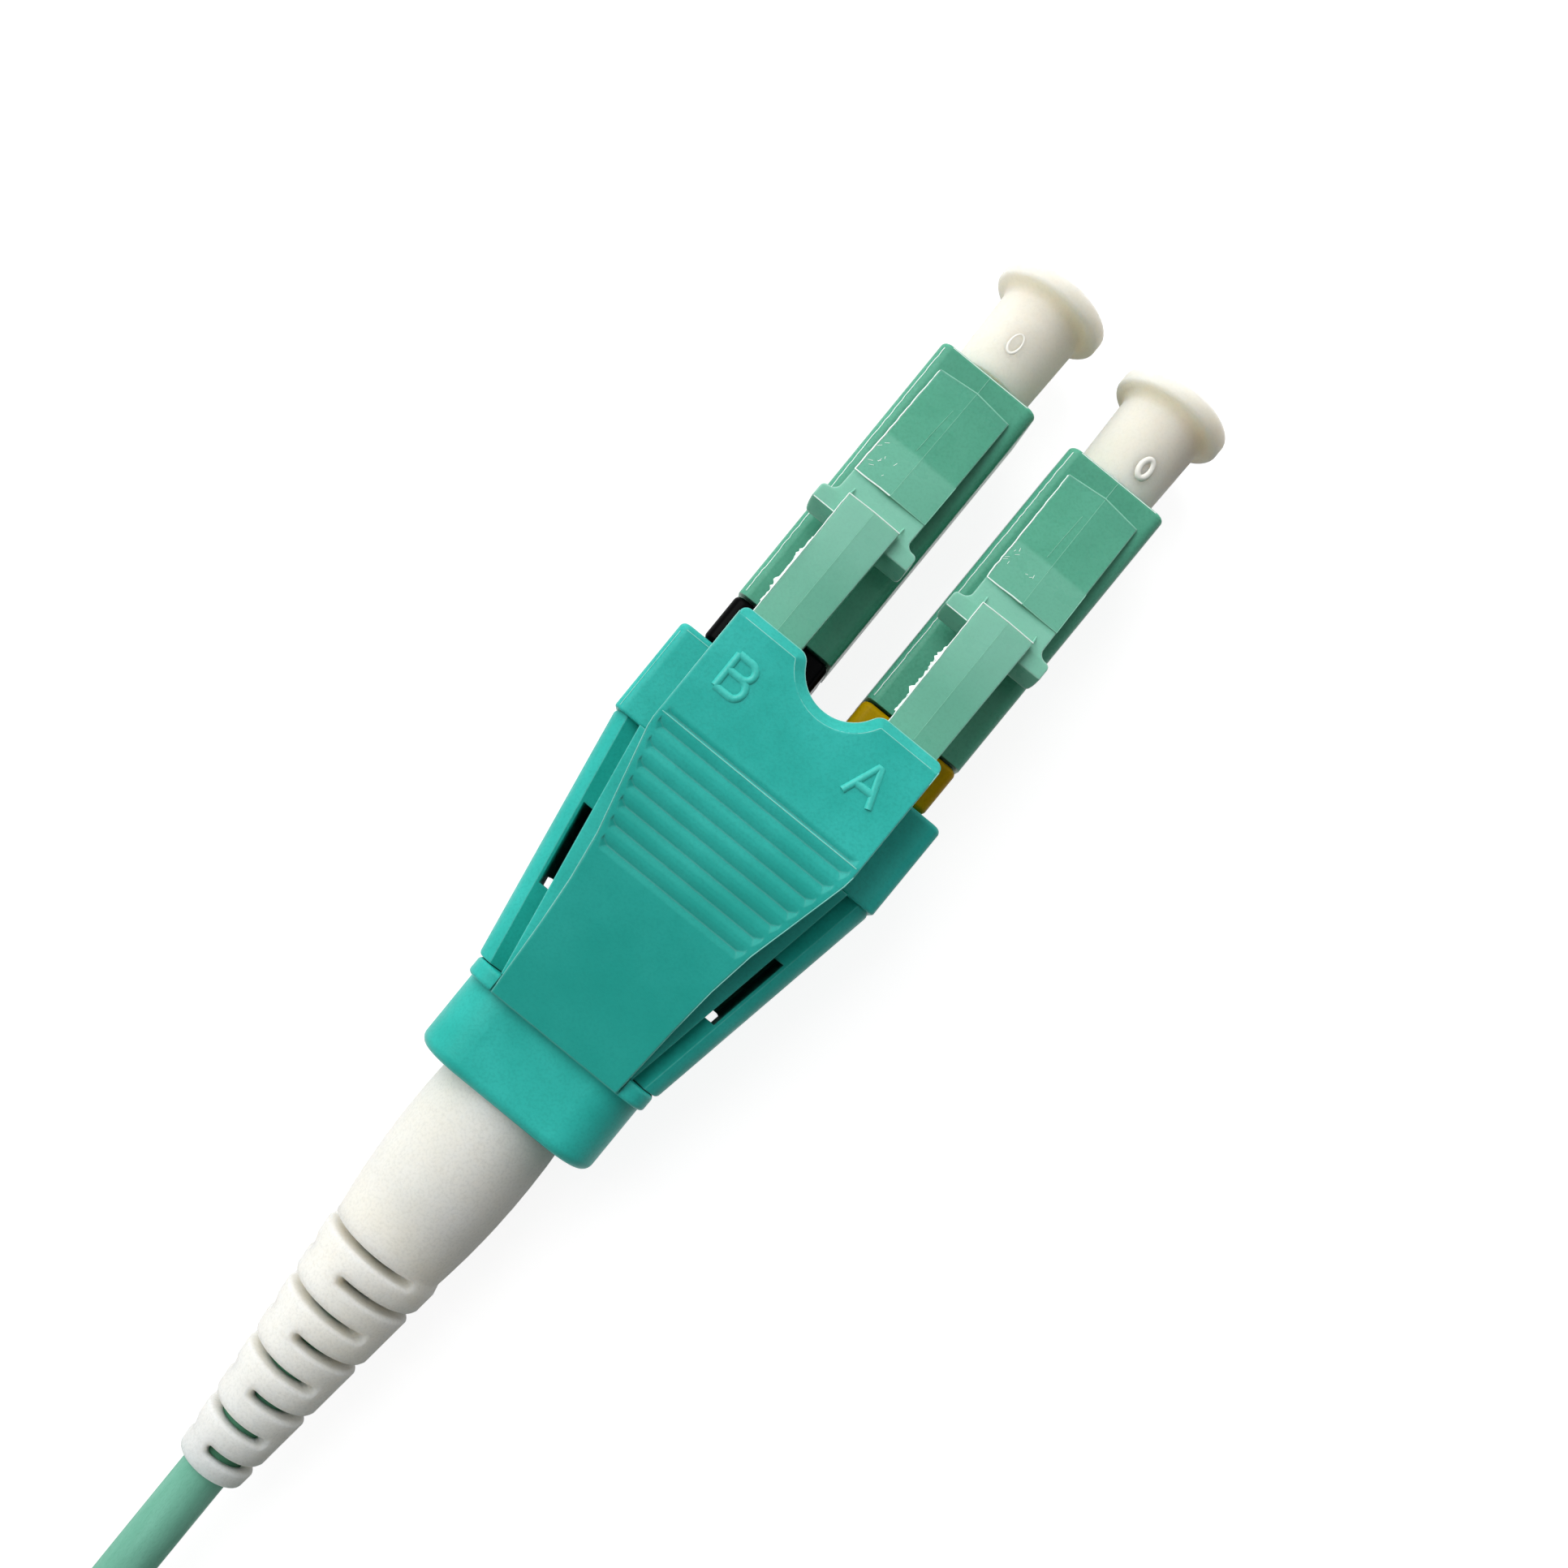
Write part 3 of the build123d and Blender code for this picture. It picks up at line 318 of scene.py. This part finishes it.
# Painted shade: the trigger's grip and root darken towards the rear.
TRIGGER_PAINTED_SHADE = [(-29.6, 0.60), (-24.0, 0.50), (-20.0, 0.15), (-18.2, 0.0)]
teal = moulded("teal_plastic", TEAL, TEAL_DEEP, edge=0.08, **TEAL_SURFACE)
trigger_teal = moulded(
    "trigger_teal", TEAL, TEAL_DEEP, edge=0.13, painted_light_and_scuff=(linear(24, 142, 130), TRIGGER_PAINTED_SHADE), **TEAL_SURFACE
)
letter_teal = moulded("letter_teal", linear(66, 196, 185), linear(54, 186, 174), 0.38, edge=0.0, specular=0.3)
# Pale green for parting lines, ribs and a scratch, and for painted highlights along the plates' edges and
# ridges.
mark_and_highlight_green = moulded("mark_and_highlight_green", linear(140, 206, 182), linear(120, 192, 167), 0.3, edge=0.0)
# Pale teal for painted highlights along the trigger's and the front block's edges.
highlight_teal = moulded("highlight_teal", linear(140, 214, 203), linear(110, 202, 190), 0.35, edge=0.0)

GREEN = linear(88, 166, 139)
GREEN_DEEP = linear(78, 156, 129)
GREEN_SURFACE = {"roughness": 0.30, "grain": 0.3, "specular": 0.15, "subsurface": 0.35, "depth": 0.8}
# Painted light on the latch arms: paler on the plate's rear half, the neck and the ears' rear slopes; the
# paler tail is scuffing.
ARM_PAINTED_LIGHT_AND_SCUFF = [
    (-13.8, 0.20),
    (-11.0, 0.22),
    (-9.2, 0.38),
    (-8.0, 0.42),
    (-6.7, 0.42),
    (-6.4, 0.16),
    (-4.55, 0.16),
    (-4.35, 0.0),
    (-0.9, 0.0),
]
# The green pieces' edges get a painted highlight, stronger on the latch arms.
green = moulded("green_plastic", GREEN, GREEN_DEEP, edge=0.05, edge_highlight=0.25, **GREEN_SURFACE)
arm_green = moulded(
    "arm_green", GREEN, GREEN_DEEP, edge=0.10, edge_highlight=0.45, painted_light_and_scuff=(linear(160, 214, 196), ARM_PAINTED_LIGHT_AND_SCUFF),
    **GREEN_SURFACE,
)
# Near white for mould flash and scratches, and for painted highlights along the edges of the plugs and latch
# arms.
flash_scratch_and_highlight = moulded(
    "flash_scratch_and_highlight_plastic", linear(246, 253, 249), linear(222, 243, 234), 0.25, grain=0.2, edge=0.0, speckle=0.0
)

cap_white = moulded(
    "cap_plastic", linear(235, 231, 220), linear(228, 224, 211), 0.5, grain=0.8, edge=0.06,
    specular=0.04, subsurface=1.0, depth=1.6, warm=0.04, speckle=0.12,
)
number_white = moulded(
    "cap_number", linear(240, 238, 230), linear(236, 234, 226), 0.45, edge=0.0, speckle=0.0
)
boot_white = moulded(
    "boot_rubber", linear(241, 237, 227), linear(234, 230, 218), 0.6, grain=1.0, edge=0.10, specular=0.08,
    subsurface=1.0, depth=2.4,
)
yellow = moulded("yellow_plastic", linear(186, 150, 0), linear(166, 130, 0), 0.38, edge=0.08, specular=0.06)
black = moulded("black_plastic", linear(4, 4, 5), linear(2, 2, 3), 0.24, grain=0.2, edge=0.08, specular=0.03)
aqua = moulded(
    "aqua_jacket", linear(118, 180, 158), linear(102, 166, 143), 0.6, grain=0.6, edge=0.0, specular=0.2,
    streaks=(3.0, 0.6, 3.0),
)
# Painted shade: the cable inside the boot is darker, as it lies in the shade of the boot's slots.
painted_shade_aqua = moulded(
    "jacket_painted_shade", linear(74, 128, 102), linear(62, 116, 90), 0.7, edge=0.0, specular=0.1
)
ceramic = moulded("zirconia", linear(244, 243, 236), linear(238, 236, 228), 0.12, grain=0.1, subsurface=0.2)
buffer_plastic = moulded("fibre_buffer", linear(225, 232, 228), linear(212, 222, 218), 0.35, grain=0.3)


METAL_SHADE = 0.8
METAL_SPREAD = 0.2


def metal(name, colour, roughness, brushed):
    """A metal with fine lines around the piece's own axis."""
    material = bpy.data.materials.new(name)
    material.use_nodes = True
    tree = material.node_tree
    shader = tree.nodes["Principled BSDF"]
    shader.inputs["Metallic"].default_value = 1.0
    coords = tree.nodes.new("ShaderNodeTexCoord")
    mapping = tree.nodes.new("ShaderNodeMapping")
    mapping.inputs["Scale"].default_value = brushed
    tree.links.new(coords.outputs["Object"], mapping.inputs["Vector"])
    lines = noise(tree, mapping.outputs["Vector"], scale=1.0, detail=4.0)
    base = ramp(tree, lines, [(0.3, darker(colour, METAL_SHADE)), (0.7, colour)])
    tree.links.new(base, shader.inputs["Base Color"])
    low, high = roughness * (1 - METAL_SPREAD), roughness * (1 + METAL_SPREAD)
    uneven = ranged(tree, lines, start=0.0, end=1.0, first=low, last=high)
    tree.links.new(uneven, shader.inputs["Roughness"])
    tree.links.new(bumped(tree, lines, strength=0.3, distance=0.01), shader.inputs["Normal"])
    return material


nickel = metal("nickel_plate", linear(205, 202, 194), 0.25, (400.0, 9000.0, 400.0))
spring_steel = metal("spring_wire", linear(190, 192, 194), 0.2, (3000.0, 3000.0, 3000.0))

FINISHES = {
    "dust_cap_a": cap_white,
    "dust_cap_b": cap_white,
    "plug_housing_a": green,
    "plug_housing_b": green,
    "latch_arm_a": arm_green,
    "latch_arm_b": arm_green,
    "ferrule_a": ceramic,
    "ferrule_b": ceramic,
    "ferrule_holder_a": nickel,
    "ferrule_holder_b": nickel,
    "ferrule_spring_a": spring_steel,
    "ferrule_spring_b": spring_steel,
    "rear_body_a": yellow,
    "rear_body_b": black,
    "fibre_a": buffer_plastic,
    "fibre_b": buffer_plastic,
    "front_block": teal,
    "rear_shell_upper": teal,
    "rear_shell_lower": teal,
    "collar": teal,
    "trigger": trigger_teal,
    "crimp_post": nickel,
    "crimp_sleeve": nickel,
    "boot": boot_white,
    "cable_in_boot": painted_shade_aqua,
}
for node_name, finish in FINISHES.items():
    node = nodes[node_name]
    node.data.materials.clear()
    node.data.materials.append(finish)


# Cable: out of the boot, down to the surface, and a neat coil of the length that isn't seen
CABLE_DIAMETER = 2.0
ROUTE = [
    (0.0, -51.36, 0.0),
    (0.0, -57.6, 0.0),
    (0.0, -63.1, -2.28),
]
COIL_CENTRE = (8.575, -79.741)
COIL_START = 160.4
COIL_BOTTOM, LAYER_RISE = -2.3, 2.0
TURN_POINTS = 16
INNER, OUTER, PITCH = 7.64, 13.66, 2.005
TOP_TURNS = 1.4
SPREAD = 1.0 / math.cos(math.pi / TURN_POINTS)
LAYERS = [
    (OUTER, INNER, 3.0),
    (INNER, INNER, 0.25),
    (INNER, OUTER, 3.0),
    (OUTER, OUTER, 0.25),
    (OUTER, INNER, 3.0),
    (INNER, INNER, 0.25),
    (INNER, OUTER, 3.0),
    (OUTER, OUTER, 0.25),
    (OUTER, OUTER - TOP_TURNS * PITCH, TOP_TURNS),
]


def coil_turns():
    """The coil's control points: flat layers of turns, joined by quarter turns that climb to the next."""
    places = []
    angle = math.radians(COIL_START) + math.pi / TURN_POINTS
    for count, (first_radius, last_radius, turns) in enumerate(LAYERS):
        first_level = COIL_BOTTOM + LAYER_RISE * (count // 2)
        last_level = COIL_BOTTOM + LAYER_RISE * ((count + 1) // 2)
        steps = round(turns * TURN_POINTS)
        for step in range(steps):
            share = step / steps
            radius = SPREAD * (first_radius + share * (last_radius - first_radius))
            climb = share * share * (3 - 2 * share)
            x = COIL_CENTRE[0] + radius * math.cos(angle)
            y = COIL_CENTRE[1] + radius * math.sin(angle)
            places.append((x, y, first_level + climb * (last_level - first_level)))
            angle += 2 * math.pi / TURN_POINTS
    return places


points = ROUTE + coil_turns()
curve = bpy.data.curves.new("fibre_cable", "CURVE")
curve.dimensions = "3D"
curve.bevel_depth = CABLE_DIAMETER / 2 * MM
curve.bevel_resolution = 8
curve.use_fill_caps = True
curve.resolution_u = 12
spline = curve.splines.new("NURBS")
spline.points.add(len(points) - 1)
for point, place in zip(spline.points, points):
    point.co = (*metres(place), 1.0)
spline.order_u = 3
spline.use_endpoint_u = True
fibre_cable = bpy.data.objects.new("fibre_cable", curve)
fibre_cable.data.materials.append(aqua)
bpy.context.scene.collection.objects.link(fibre_cable)
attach(fibre_cable, "connector")
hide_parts("cable", "cable_coil")


# Small raised marks, mould flash and painted highlights, drawn as thin strokes that sit half sunk in the
# surfaces
POINT_SIZE = 0.1 * MM
MERGE_DISTANCE = 0.001 * MM


def stroke(name, paths, finish, body, radius, closed=False):
    """A thin round stroke along each path of points in millimetres.

    A point is extruded from place to place, and the chain of edges is given a round section.
    """
    bpy.ops.object.select_all(action="DESELECT")
    bpy.ops.mesh.primitive_plane_add(size=POINT_SIZE, enter_editmode=True)
    bpy.ops.mesh.delete(type="VERT")
    for path in paths:
        places = [Vector(metres(place)) for place in path]
        if closed:
            places.append(places[0])
        bpy.ops.mesh.primitive_plane_add(size=POINT_SIZE, location=places[0])
        bpy.ops.mesh.merge(type="CENTER")
        for place, following in zip(places, places[1:]):
            bpy.ops.mesh.extrude_region_move(TRANSFORM_OT_translate={"value": following - place})
    if closed:
        bpy.ops.mesh.select_all(action="SELECT")
        bpy.ops.mesh.remove_doubles(threshold=MERGE_DISTANCE)
    bpy.ops.object.mode_set(mode="OBJECT")
    bpy.ops.object.convert(target="CURVE")
    mark = bpy.context.object
    mark.name = name
    data = mark.data
    data.name = name
    data.dimensions = "3D"
    data.bevel_depth = radius * MM
    data.bevel_resolution = 3
    data.use_fill_caps = True
    for line in data.splines:
        line.use_smooth = True
    data.materials.append(finish)
    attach(mark, body)


def bend(centre, size, first, last, steps=12):
    """Points along an elliptical arc, in degrees."""
    places = []
    for step in range(steps + 1):
        turn = math.radians(first + (last - first) * step / steps)
        places.append((centre[0] + size[0] * math.cos(turn), centre[1] + size[1] * math.sin(turn)))
    return places


# Polarity letters on the trigger's head: their strokes on a unit square, then laid on the slope
LETTER_B = [
    [(0.0, 0.0), (0.0, 1.0)],
    [(0.0, 1.0), *bend((0.58, 0.765), (0.34, 0.235), 90, -90), (0.0, 0.53)],
    [(0.0, 0.53), *bend((0.66, 0.265), (0.34, 0.265), 90, -90), (0.0, 0.0)],
]
LETTER_A = [
    [(0.0, 0.0), (0.46, 1.0), (0.56, 1.0), (1.0, 0.02)],
    [(0.19, 0.36), (0.83, 0.36)],
]
LETTER_B_SIDES, LETTER_A_SIDES = (-3.54, -2.56), (2.25, 3.39)
LETTER_FRONT, LETTER_HEIGHT, LETTER_SINK, LETTER_STROKE = 14.80, 1.41, 0.08, 0.17
HEAD_FRONT, HEAD_REAR, GRIP_REAR, ROOT_REAR = 13.25, 17.97, 23.07, 29.66
HEAD_FRONT_TOP, HEAD_REAR_TOP, GRIP_REAR_TOP, ROOT_REAR_TOP = 6.38, 6.42, 5.35, 3.76


def between(value, first, last, low, high):
    """A height on a straight slope between two others."""
    return low + (high - low) * (value - first) / (last - first)


def trigger_top(back):
    """The height of the trigger's upper face at one distance behind the plugs' fronts."""
    if back < HEAD_REAR:
        return between(back, HEAD_FRONT, HEAD_REAR, HEAD_FRONT_TOP, HEAD_REAR_TOP)
    if back < GRIP_REAR:
        return between(back, HEAD_REAR, GRIP_REAR, HEAD_REAR_TOP, GRIP_REAR_TOP)
    return between(back, GRIP_REAR, ROOT_REAR, GRIP_REAR_TOP, ROOT_REAR_TOP)


def letter(name, strokes, sides):
    """One raised letter between two sides of the trigger's head."""
    left, right = sides
    paths = []
    for path in strokes:
        places = []
        for across, up in path:
            back = LETTER_FRONT + (1.0 - up) * LETTER_HEIGHT
            places.append((left + across * (right - left), -back, trigger_top(back) - LETTER_SINK))
        paths.append(places)
    stroke(name, paths, letter_teal, "trigger", LETTER_STROKE)


letter("letter_b", LETTER_B, LETTER_B_SIDES)
letter("letter_a", LETTER_A, LETTER_A_SIDES)

# Painted highlights along the trigger's edges: both sides, the grip's first ridge and the bevel round the
# notch
EDGE_SINK = 0.01
TRIGGER_HALF_WIDTHS = [
    (13.6, 4.515),
    (18.4, 4.515),
    (18.8, 4.47),
    (22.77, 3.53),
    (24.66, 3.263),
    (26.63, 3.11),
    (29.4, 2.975),
]


def painted_highlight_edge(name, paths, radius, body="trigger"):
    """A painted highlight along an edge of one of the teal pieces."""
    stroke(name, paths, highlight_teal, body, radius)


right_side = [(half, -back, trigger_top(back) - EDGE_SINK) for back, half in TRIGGER_HALF_WIDTHS]
left_side = [(-x, y, z) for x, y, z in right_side]
painted_highlight_edge("trigger_side_edges", [left_side, right_side], radius=0.022)
first_ridge = [(-4.40, -18.05, 6.400), (-1.5, -18.055, 6.402), (4.40, -18.05, 6.400)]
painted_highlight_edge("grip_first_edge", [first_ridge], radius=0.020)

NOTCH_CENTRE, NOTCH_RADIUS = (0.0, -12.70), 1.748
LIP_CENTRE, LIP_RADIUS, LIP_ANGLE = (1.988, -13.75), 0.5, 27.8
LIP_END = 4.2


def lip_path(inset, height):
    """The trigger's front edge from side to side, round the notch, moved back by an inset."""
    corner = LIP_RADIUS - inset
    notch = NOTCH_RADIUS + inset
    half_path = [(LIP_END, -HEAD_FRONT - inset)]
    half_path += bend(LIP_CENTRE, (corner, corner), 90, 180 - LIP_ANGLE, steps=6)
    half_path += bend(NOTCH_CENTRE, (notch, notch), -LIP_ANGLE, -90, steps=10)[1:]
    other_half = [(-x, y) for x, y in reversed(half_path[:-1])]
    return [(x, y, height) for x, y in half_path + other_half]


painted_highlight_edge("lip_inner_edge", [lip_path(inset=0.42, height=6.372)], radius=0.018)
painted_highlight_edge("lip_outer_edge", [lip_path(inset=0.01, height=6.035)], radius=0.022)

# Painted highlights along the front block's edges, on its front and its left side
block_edges = [
    [(-5.85, -14.84, 3.292), (-4.7, -14.83, 3.296)],
    [(-6.03, -15.0, 3.212), (-6.03, -18.55, 3.212)],
]
painted_highlight_edge("block_edges", block_edges, radius=0.018, body="connector")

# A mould number on each cap's stem
PLUG_SPACING = 6.25
PLUGS = {"a": PLUG_SPACING / 2, "b": -PLUG_SPACING / 2}
STEM_RADIUS, NUMBER_SEAT = 1.72, 1.665
NUMBER_STEPS = 24


def mould_number(side, angle_at, along, height, width, radius):
    """A plain round number that is wrapped round a cap's stem."""
    ring = []
    last_angle = 360 - 360 / NUMBER_STEPS
    for across, up in bend((0.0, 0.0), (1.0, 1.0), 0, last_angle, NUMBER_STEPS - 1):
        turn = math.radians(angle_at) + across * width / STEM_RADIUS
        x = PLUGS[side] + NUMBER_SEAT * math.sin(turn)
        ring.append((x, along + up * height, NUMBER_SEAT * math.cos(turn)))
    body = f"cap_{side}"
    stroke(f"mould_number_{body}", [ring], number_white, body, radius, closed=True)


mould_number("a", angle_at=16.0, along=1.22, height=0.40, width=0.24, radius=0.135)
mould_number("b", angle_at=-4.0, along=1.75, height=0.42, width=0.24, radius=0.075)

# Marks on the plugs and latch arms: painted highlights along edges and ridges, parting lines, scratches and a
# torn strip of mould flash by the tail
rng = random.Random(4)
FRAY_RISE = 0.3

# Places on a plug and its latch arm: across from the plug's axis, along from its front and up from its axis
PLATE_HALF, TAIL_HALF, RIB_HALF = 1.65, 1.17, 1.15
PLATE_FRONT, PLATE_BEND, PLATE_REAR = (-1.07, 2.33), (-4.45, 3.21), (-6.45, 3.91)
RIDGE_BEND, RIDGE_REAR = (-4.45, 3.30), (-6.45, 4.0)
TAIL_FRONT, TAIL_REAR_LEFT = (-7.5, 4.71), (-1.105, -13.6, 5.345)
EAR_FRONT = (-8.30, 4.40)
PLUG_EDGE, PLUG_EDGE_TOP = 2.07, 2.178
NOSE_HALF, NOSE_EDGE = 1.8, (-0.08, 2.235)
PARTING_TOP = 2.262


def varied(least, more):
    """A random size, from the least one to that much more."""
    return least + more * rng.random()


def frayed(first, last, steps, spread):
    """A nearly straight line of points that wanders a little from side to side."""
    places = []
    for step in range(steps + 1):
        share = step / steps
        place = [a + share * (b - a) for a, b in zip(first, last)]
        place[0] += spread * (rng.random() - 0.5)
        place[2] += FRAY_RISE * spread * (rng.random() - 0.5)
        places.append(tuple(place))
    return places


def plug_stroke(name, side, paths, finish, body, radius):
    """A stroke on one plug or its latch arm, from paths measured from the plug's axis."""
    moved = [[(PLUGS[side] + x, y, z) for x, y, z in path] for path in paths]
    stroke(f"{name}_{side}", moved, finish, body, radius)


def plate_marks(side):
    """Painted highlights along the edges of the latch arm's sloped plate and along its ridges, and a scratch
    beside the ridge.
    """
    latch = f"latch_{side}"
    bend_place, rear_place = (-PLATE_HALF, *PLATE_BEND), (-PLATE_HALF, *PLATE_REAR)
    left_edge = frayed((-PLATE_HALF, -1.10, 2.34), bend_place, steps=16, spread=0.025)
    left_edge += frayed(bend_place, rear_place, steps=10, spread=0.035)[1:]
    left_edge += [(-1.1, -6.46, 3.935), (-0.5, -6.44, 3.97), (-0.02, *RIDGE_REAR)]
    plug_stroke("plate_edge", side, [left_edge], flash_scratch_and_highlight, latch, radius=0.030)
    front_rim = [(-PLATE_HALF, *PLATE_FRONT), (0.0, -0.93, 2.415), (PLATE_HALF, *PLATE_FRONT)]
    plug_stroke("plate_rim", side, [front_rim], mark_and_highlight_green, latch, radius=0.035)
    right_edge = [(0.0, *RIDGE_REAR), (PLATE_HALF, *PLATE_REAR), (PLATE_HALF, *PLATE_BEND)]
    plug_stroke("plate_side", side, [right_edge], mark_and_highlight_green, latch, radius=0.016)
    ridge = [(0.0, -0.95, 2.425), (0.0, *RIDGE_BEND), (0.0, *RIDGE_REAR)]
    tail_ridge = [(0.0, -7.52, 4.80), (0.0, -13.7, 5.445)]
    scratch = [(-0.28, -2.1, 2.705), (-0.33, -3.2, 2.985), (-0.36, -4.3, 3.255)]
    plug_stroke("ridge_line", side, [ridge, tail_ridge, scratch], mark_and_highlight_green, latch, radius=0.009)


def tail_marks(side):
    """Painted highlights along the latch arm's tail and the left ear's edge, and the ribs under the tail's
    front.
    """
    latch = f"latch_{side}"
    left_edge = frayed((-TAIL_HALF, *TAIL_FRONT), TAIL_REAR_LEFT, steps=24, spread=0.02)
    front_edge = [(-TAIL_HALF, *TAIL_FRONT), (0.0, -7.5, 4.80), (TAIL_HALF, *TAIL_FRONT)]
    plug_stroke("tail_edge", side, [left_edge, front_edge], flash_scratch_and_highlight, latch, radius=0.022)
    ribs = [[(x, -7.0, 3.98), (x, -7.52, 4.66)] for x in (-RIB_HALF, RIB_HALF)]
    plug_stroke("tail_rib", side, ribs, mark_and_highlight_green, latch, radius=0.04)
    ear = [(-2.15, *EAR_FRONT), (-1.2, *EAR_FRONT)]
    plug_stroke("ear_edge", side, [ear], flash_scratch_and_highlight, latch, radius=0.022)


SCUFFS = 9
PLATE_SLOPE, PLATE_FALL = 0.35, 0.055


def scuff_marks(side):
    """Short scratches on the rear half of the plate, lying on its slope."""
    scuffs = []
    for _ in range(SCUFFS):
        start_x = varied(-1.5, 1.2)
        start_y = varied(-4.6, -1.5)
        turn = math.radians(varied(200, 90))
        reach = varied(0.08, 0.12)
        ends = ((start_x, start_y), (start_x + reach * math.cos(turn), start_y + reach * math.sin(turn)))
        scuff = []
        for x, y in ends:
            scuff.append((x, y, RIDGE_BEND[1] - PLATE_SLOPE * (y - RIDGE_BEND[0]) - PLATE_FALL * abs(x)))
        scuffs.append(scuff)
    plug_stroke("scuffs", side, scuffs, flash_scratch_and_highlight, f"latch_{side}", radius=0.010)


def housing_marks(side):
    """Painted highlights along the plug housing's nose and left edges, and the parting line on its nose."""
    nose = frayed((-NOSE_HALF, *NOSE_EDGE), (NOSE_HALF, *NOSE_EDGE), steps=20, spread=0.02)
    front, rear = (-PLUG_EDGE, -0.25, PLUG_EDGE_TOP), (-PLUG_EDGE, -12.1, PLUG_EDGE_TOP)
    long_edge = frayed(front, rear, steps=60, spread=0.03)
    plug_stroke("plug_edge", side, [nose, long_edge], flash_scratch_and_highlight, "connector", radius=0.020)
    parting = [(0.0, -0.12, PARTING_TOP), (0.0, -0.95, PARTING_TOP)]
    plug_stroke("parting_line", side, [parting], mark_and_highlight_green, "connector", radius=0.012)


TORN_FRONT, TORN_STEP, TORN_STATIONS = 9.6, 0.092, 34
TORN_ROOT, TORN_WALL, TORN_LIP, TORN_UNDERCUT = 0.03, 0.2, 0.08, 0.8
TORN_LEAST, TORN_MORE, TORN_CALM, TORN_WAVES = 0.04, 0.13, 0.35, 2.3
TORN_DROP, TORN_DROP_MORE = 0.05, 0.10
TAIL_LENGTH, TAIL_TAPER, TAIL_RISE, TAIL_SHOULDER = 6.25, 0.07, 0.65, 4.69


def torn_section(back):
    """Four corners of the torn strip at one distance back, by whether they are at its root and above."""
    share = (back + TAIL_FRONT[0]) / TAIL_LENGTH
    edge = TAIL_TAPER * share - TAIL_HALF
    top = TAIL_SHOULDER + TAIL_RISE * share
    width = varied(TORN_LEAST, TORN_MORE * (TORN_CALM + math.sin(back * TORN_WAVES) ** 2))
    lip = top - varied(TORN_DROP, TORN_DROP_MORE)
    return {
        (True, True): (edge + TORN_ROOT, top),
        (False, True): (edge - width, lip),
        (False, False): (edge - TORN_UNDERCUT * width, lip - TORN_LIP),
        (True, False): (edge + TORN_ROOT, top - TORN_WALL),
    }


def torn_flash(side):
    """Ragged flash along the tail's left edge: a bar cut into short lengths, moved corner by corner."""
    backs = [TORN_FRONT + TORN_STEP * station for station in range(TORN_STATIONS)]
    sections = [torn_section(back) for back in backs]
    length = backs[-1] - backs[0]
    centre = Vector(metres((PLUGS[side] - TAIL_HALF, -TORN_FRONT - length / 2, TAIL_SHOULDER)))
    bpy.ops.object.select_all(action="DESELECT")
    bpy.ops.mesh.primitive_cube_add(
        size=MM, calc_uvs=False, location=centre, scale=(TORN_WALL, length, TORN_WALL)
    )
    bpy.ops.object.transform_apply(location=True, rotation=True, scale=True)
    torn = bpy.context.object
    torn.name = f"torn_flash_{side}"
    torn.data.name = torn.name

    bpy.ops.object.mode_set(mode="EDIT")
    bpy.ops.mesh.select_mode(type="EDGE")
    bpy.ops.mesh.select_all(action="DESELECT")
    for edge in bmesh.from_edit_mesh(torn.data).edges:
        edge.select_set(edge.calc_length() > length / 2 * MM)
    bpy.ops.mesh.subdivide(number_cuts=TORN_STATIONS - 2)
    bpy.ops.mesh.select_mode(type="VERT")
    bar = bmesh.from_edit_mesh(torn.data)
    moves = []
    for corner in bar.verts:
        station = round((-corner.co.y / MM - TORN_FRONT) / TORN_STEP)
        x, z = sections[station][(corner.co.x > centre.x, corner.co.z > centre.z)]
        place = Vector(metres((PLUGS[side] + x, -backs[station], z)))
        moves.append((corner, place - corner.co))
    for corner, move in moves:
        bpy.ops.mesh.select_all(action="DESELECT")
        corner.select_set(True)
        bpy.ops.transform.translate(value=move)
    bpy.ops.mesh.select_all(action="SELECT")
    bpy.ops.mesh.normals_make_consistent(inside=False)
    bpy.ops.object.mode_set(mode="OBJECT")
    torn.data.materials.append(flash_scratch_and_highlight)
    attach(torn, f"latch_{side}")


for plug_side in PLUGS:
    plate_marks(plug_side)
    tail_marks(plug_side)
    scuff_marks(plug_side)
    housing_marks(plug_side)
    torn_flash(plug_side)


# Floor: pale paper, which is seen as white with a faint shadow
FLOOR_SIZE = 1.2
FLOOR_GAP = 0.02 * MM
bpy.ops.object.select_all(action="DESELECT")
bpy.ops.mesh.primitive_plane_add(size=FLOOR_SIZE, location=(0.0, 0.0, cad_box[0][2] - FLOOR_GAP))
bpy.ops.object.transform_apply(location=True, rotation=True, scale=True)
floor = bpy.context.object
floor.name = "floor"
paper = bpy.data.materials.new("paper_floor")
paper.use_nodes = True
tree = paper.node_tree
sheet = tree.nodes["Principled BSDF"]
sheet.inputs["Base Color"].default_value = (0.50, 0.50, 0.495, 1.0)
sheet.inputs["Roughness"].default_value = 0.9
glow = tree.nodes.new("ShaderNodeEmission")
glow.inputs["Color"].default_value = (1.0, 1.0, 1.0, 1.0)
glow.inputs["Strength"].default_value = 0.88
shadowed = tree.nodes.new("ShaderNodeBsdfDiffuse")
shadowed.inputs["Color"].default_value = (0.25, 0.25, 0.25, 1.0)
shown = tree.nodes.new("ShaderNodeAddShader")
tree.links.new(glow.outputs["Emission"], shown.inputs[0])
tree.links.new(shadowed.outputs["BSDF"], shown.inputs[1])
surface = tree.nodes["Material Output"].inputs["Surface"]
shown_white(tree, sheet.outputs["BSDF"], shown.outputs["Shader"], surface)
floor.data.materials.append(paper)
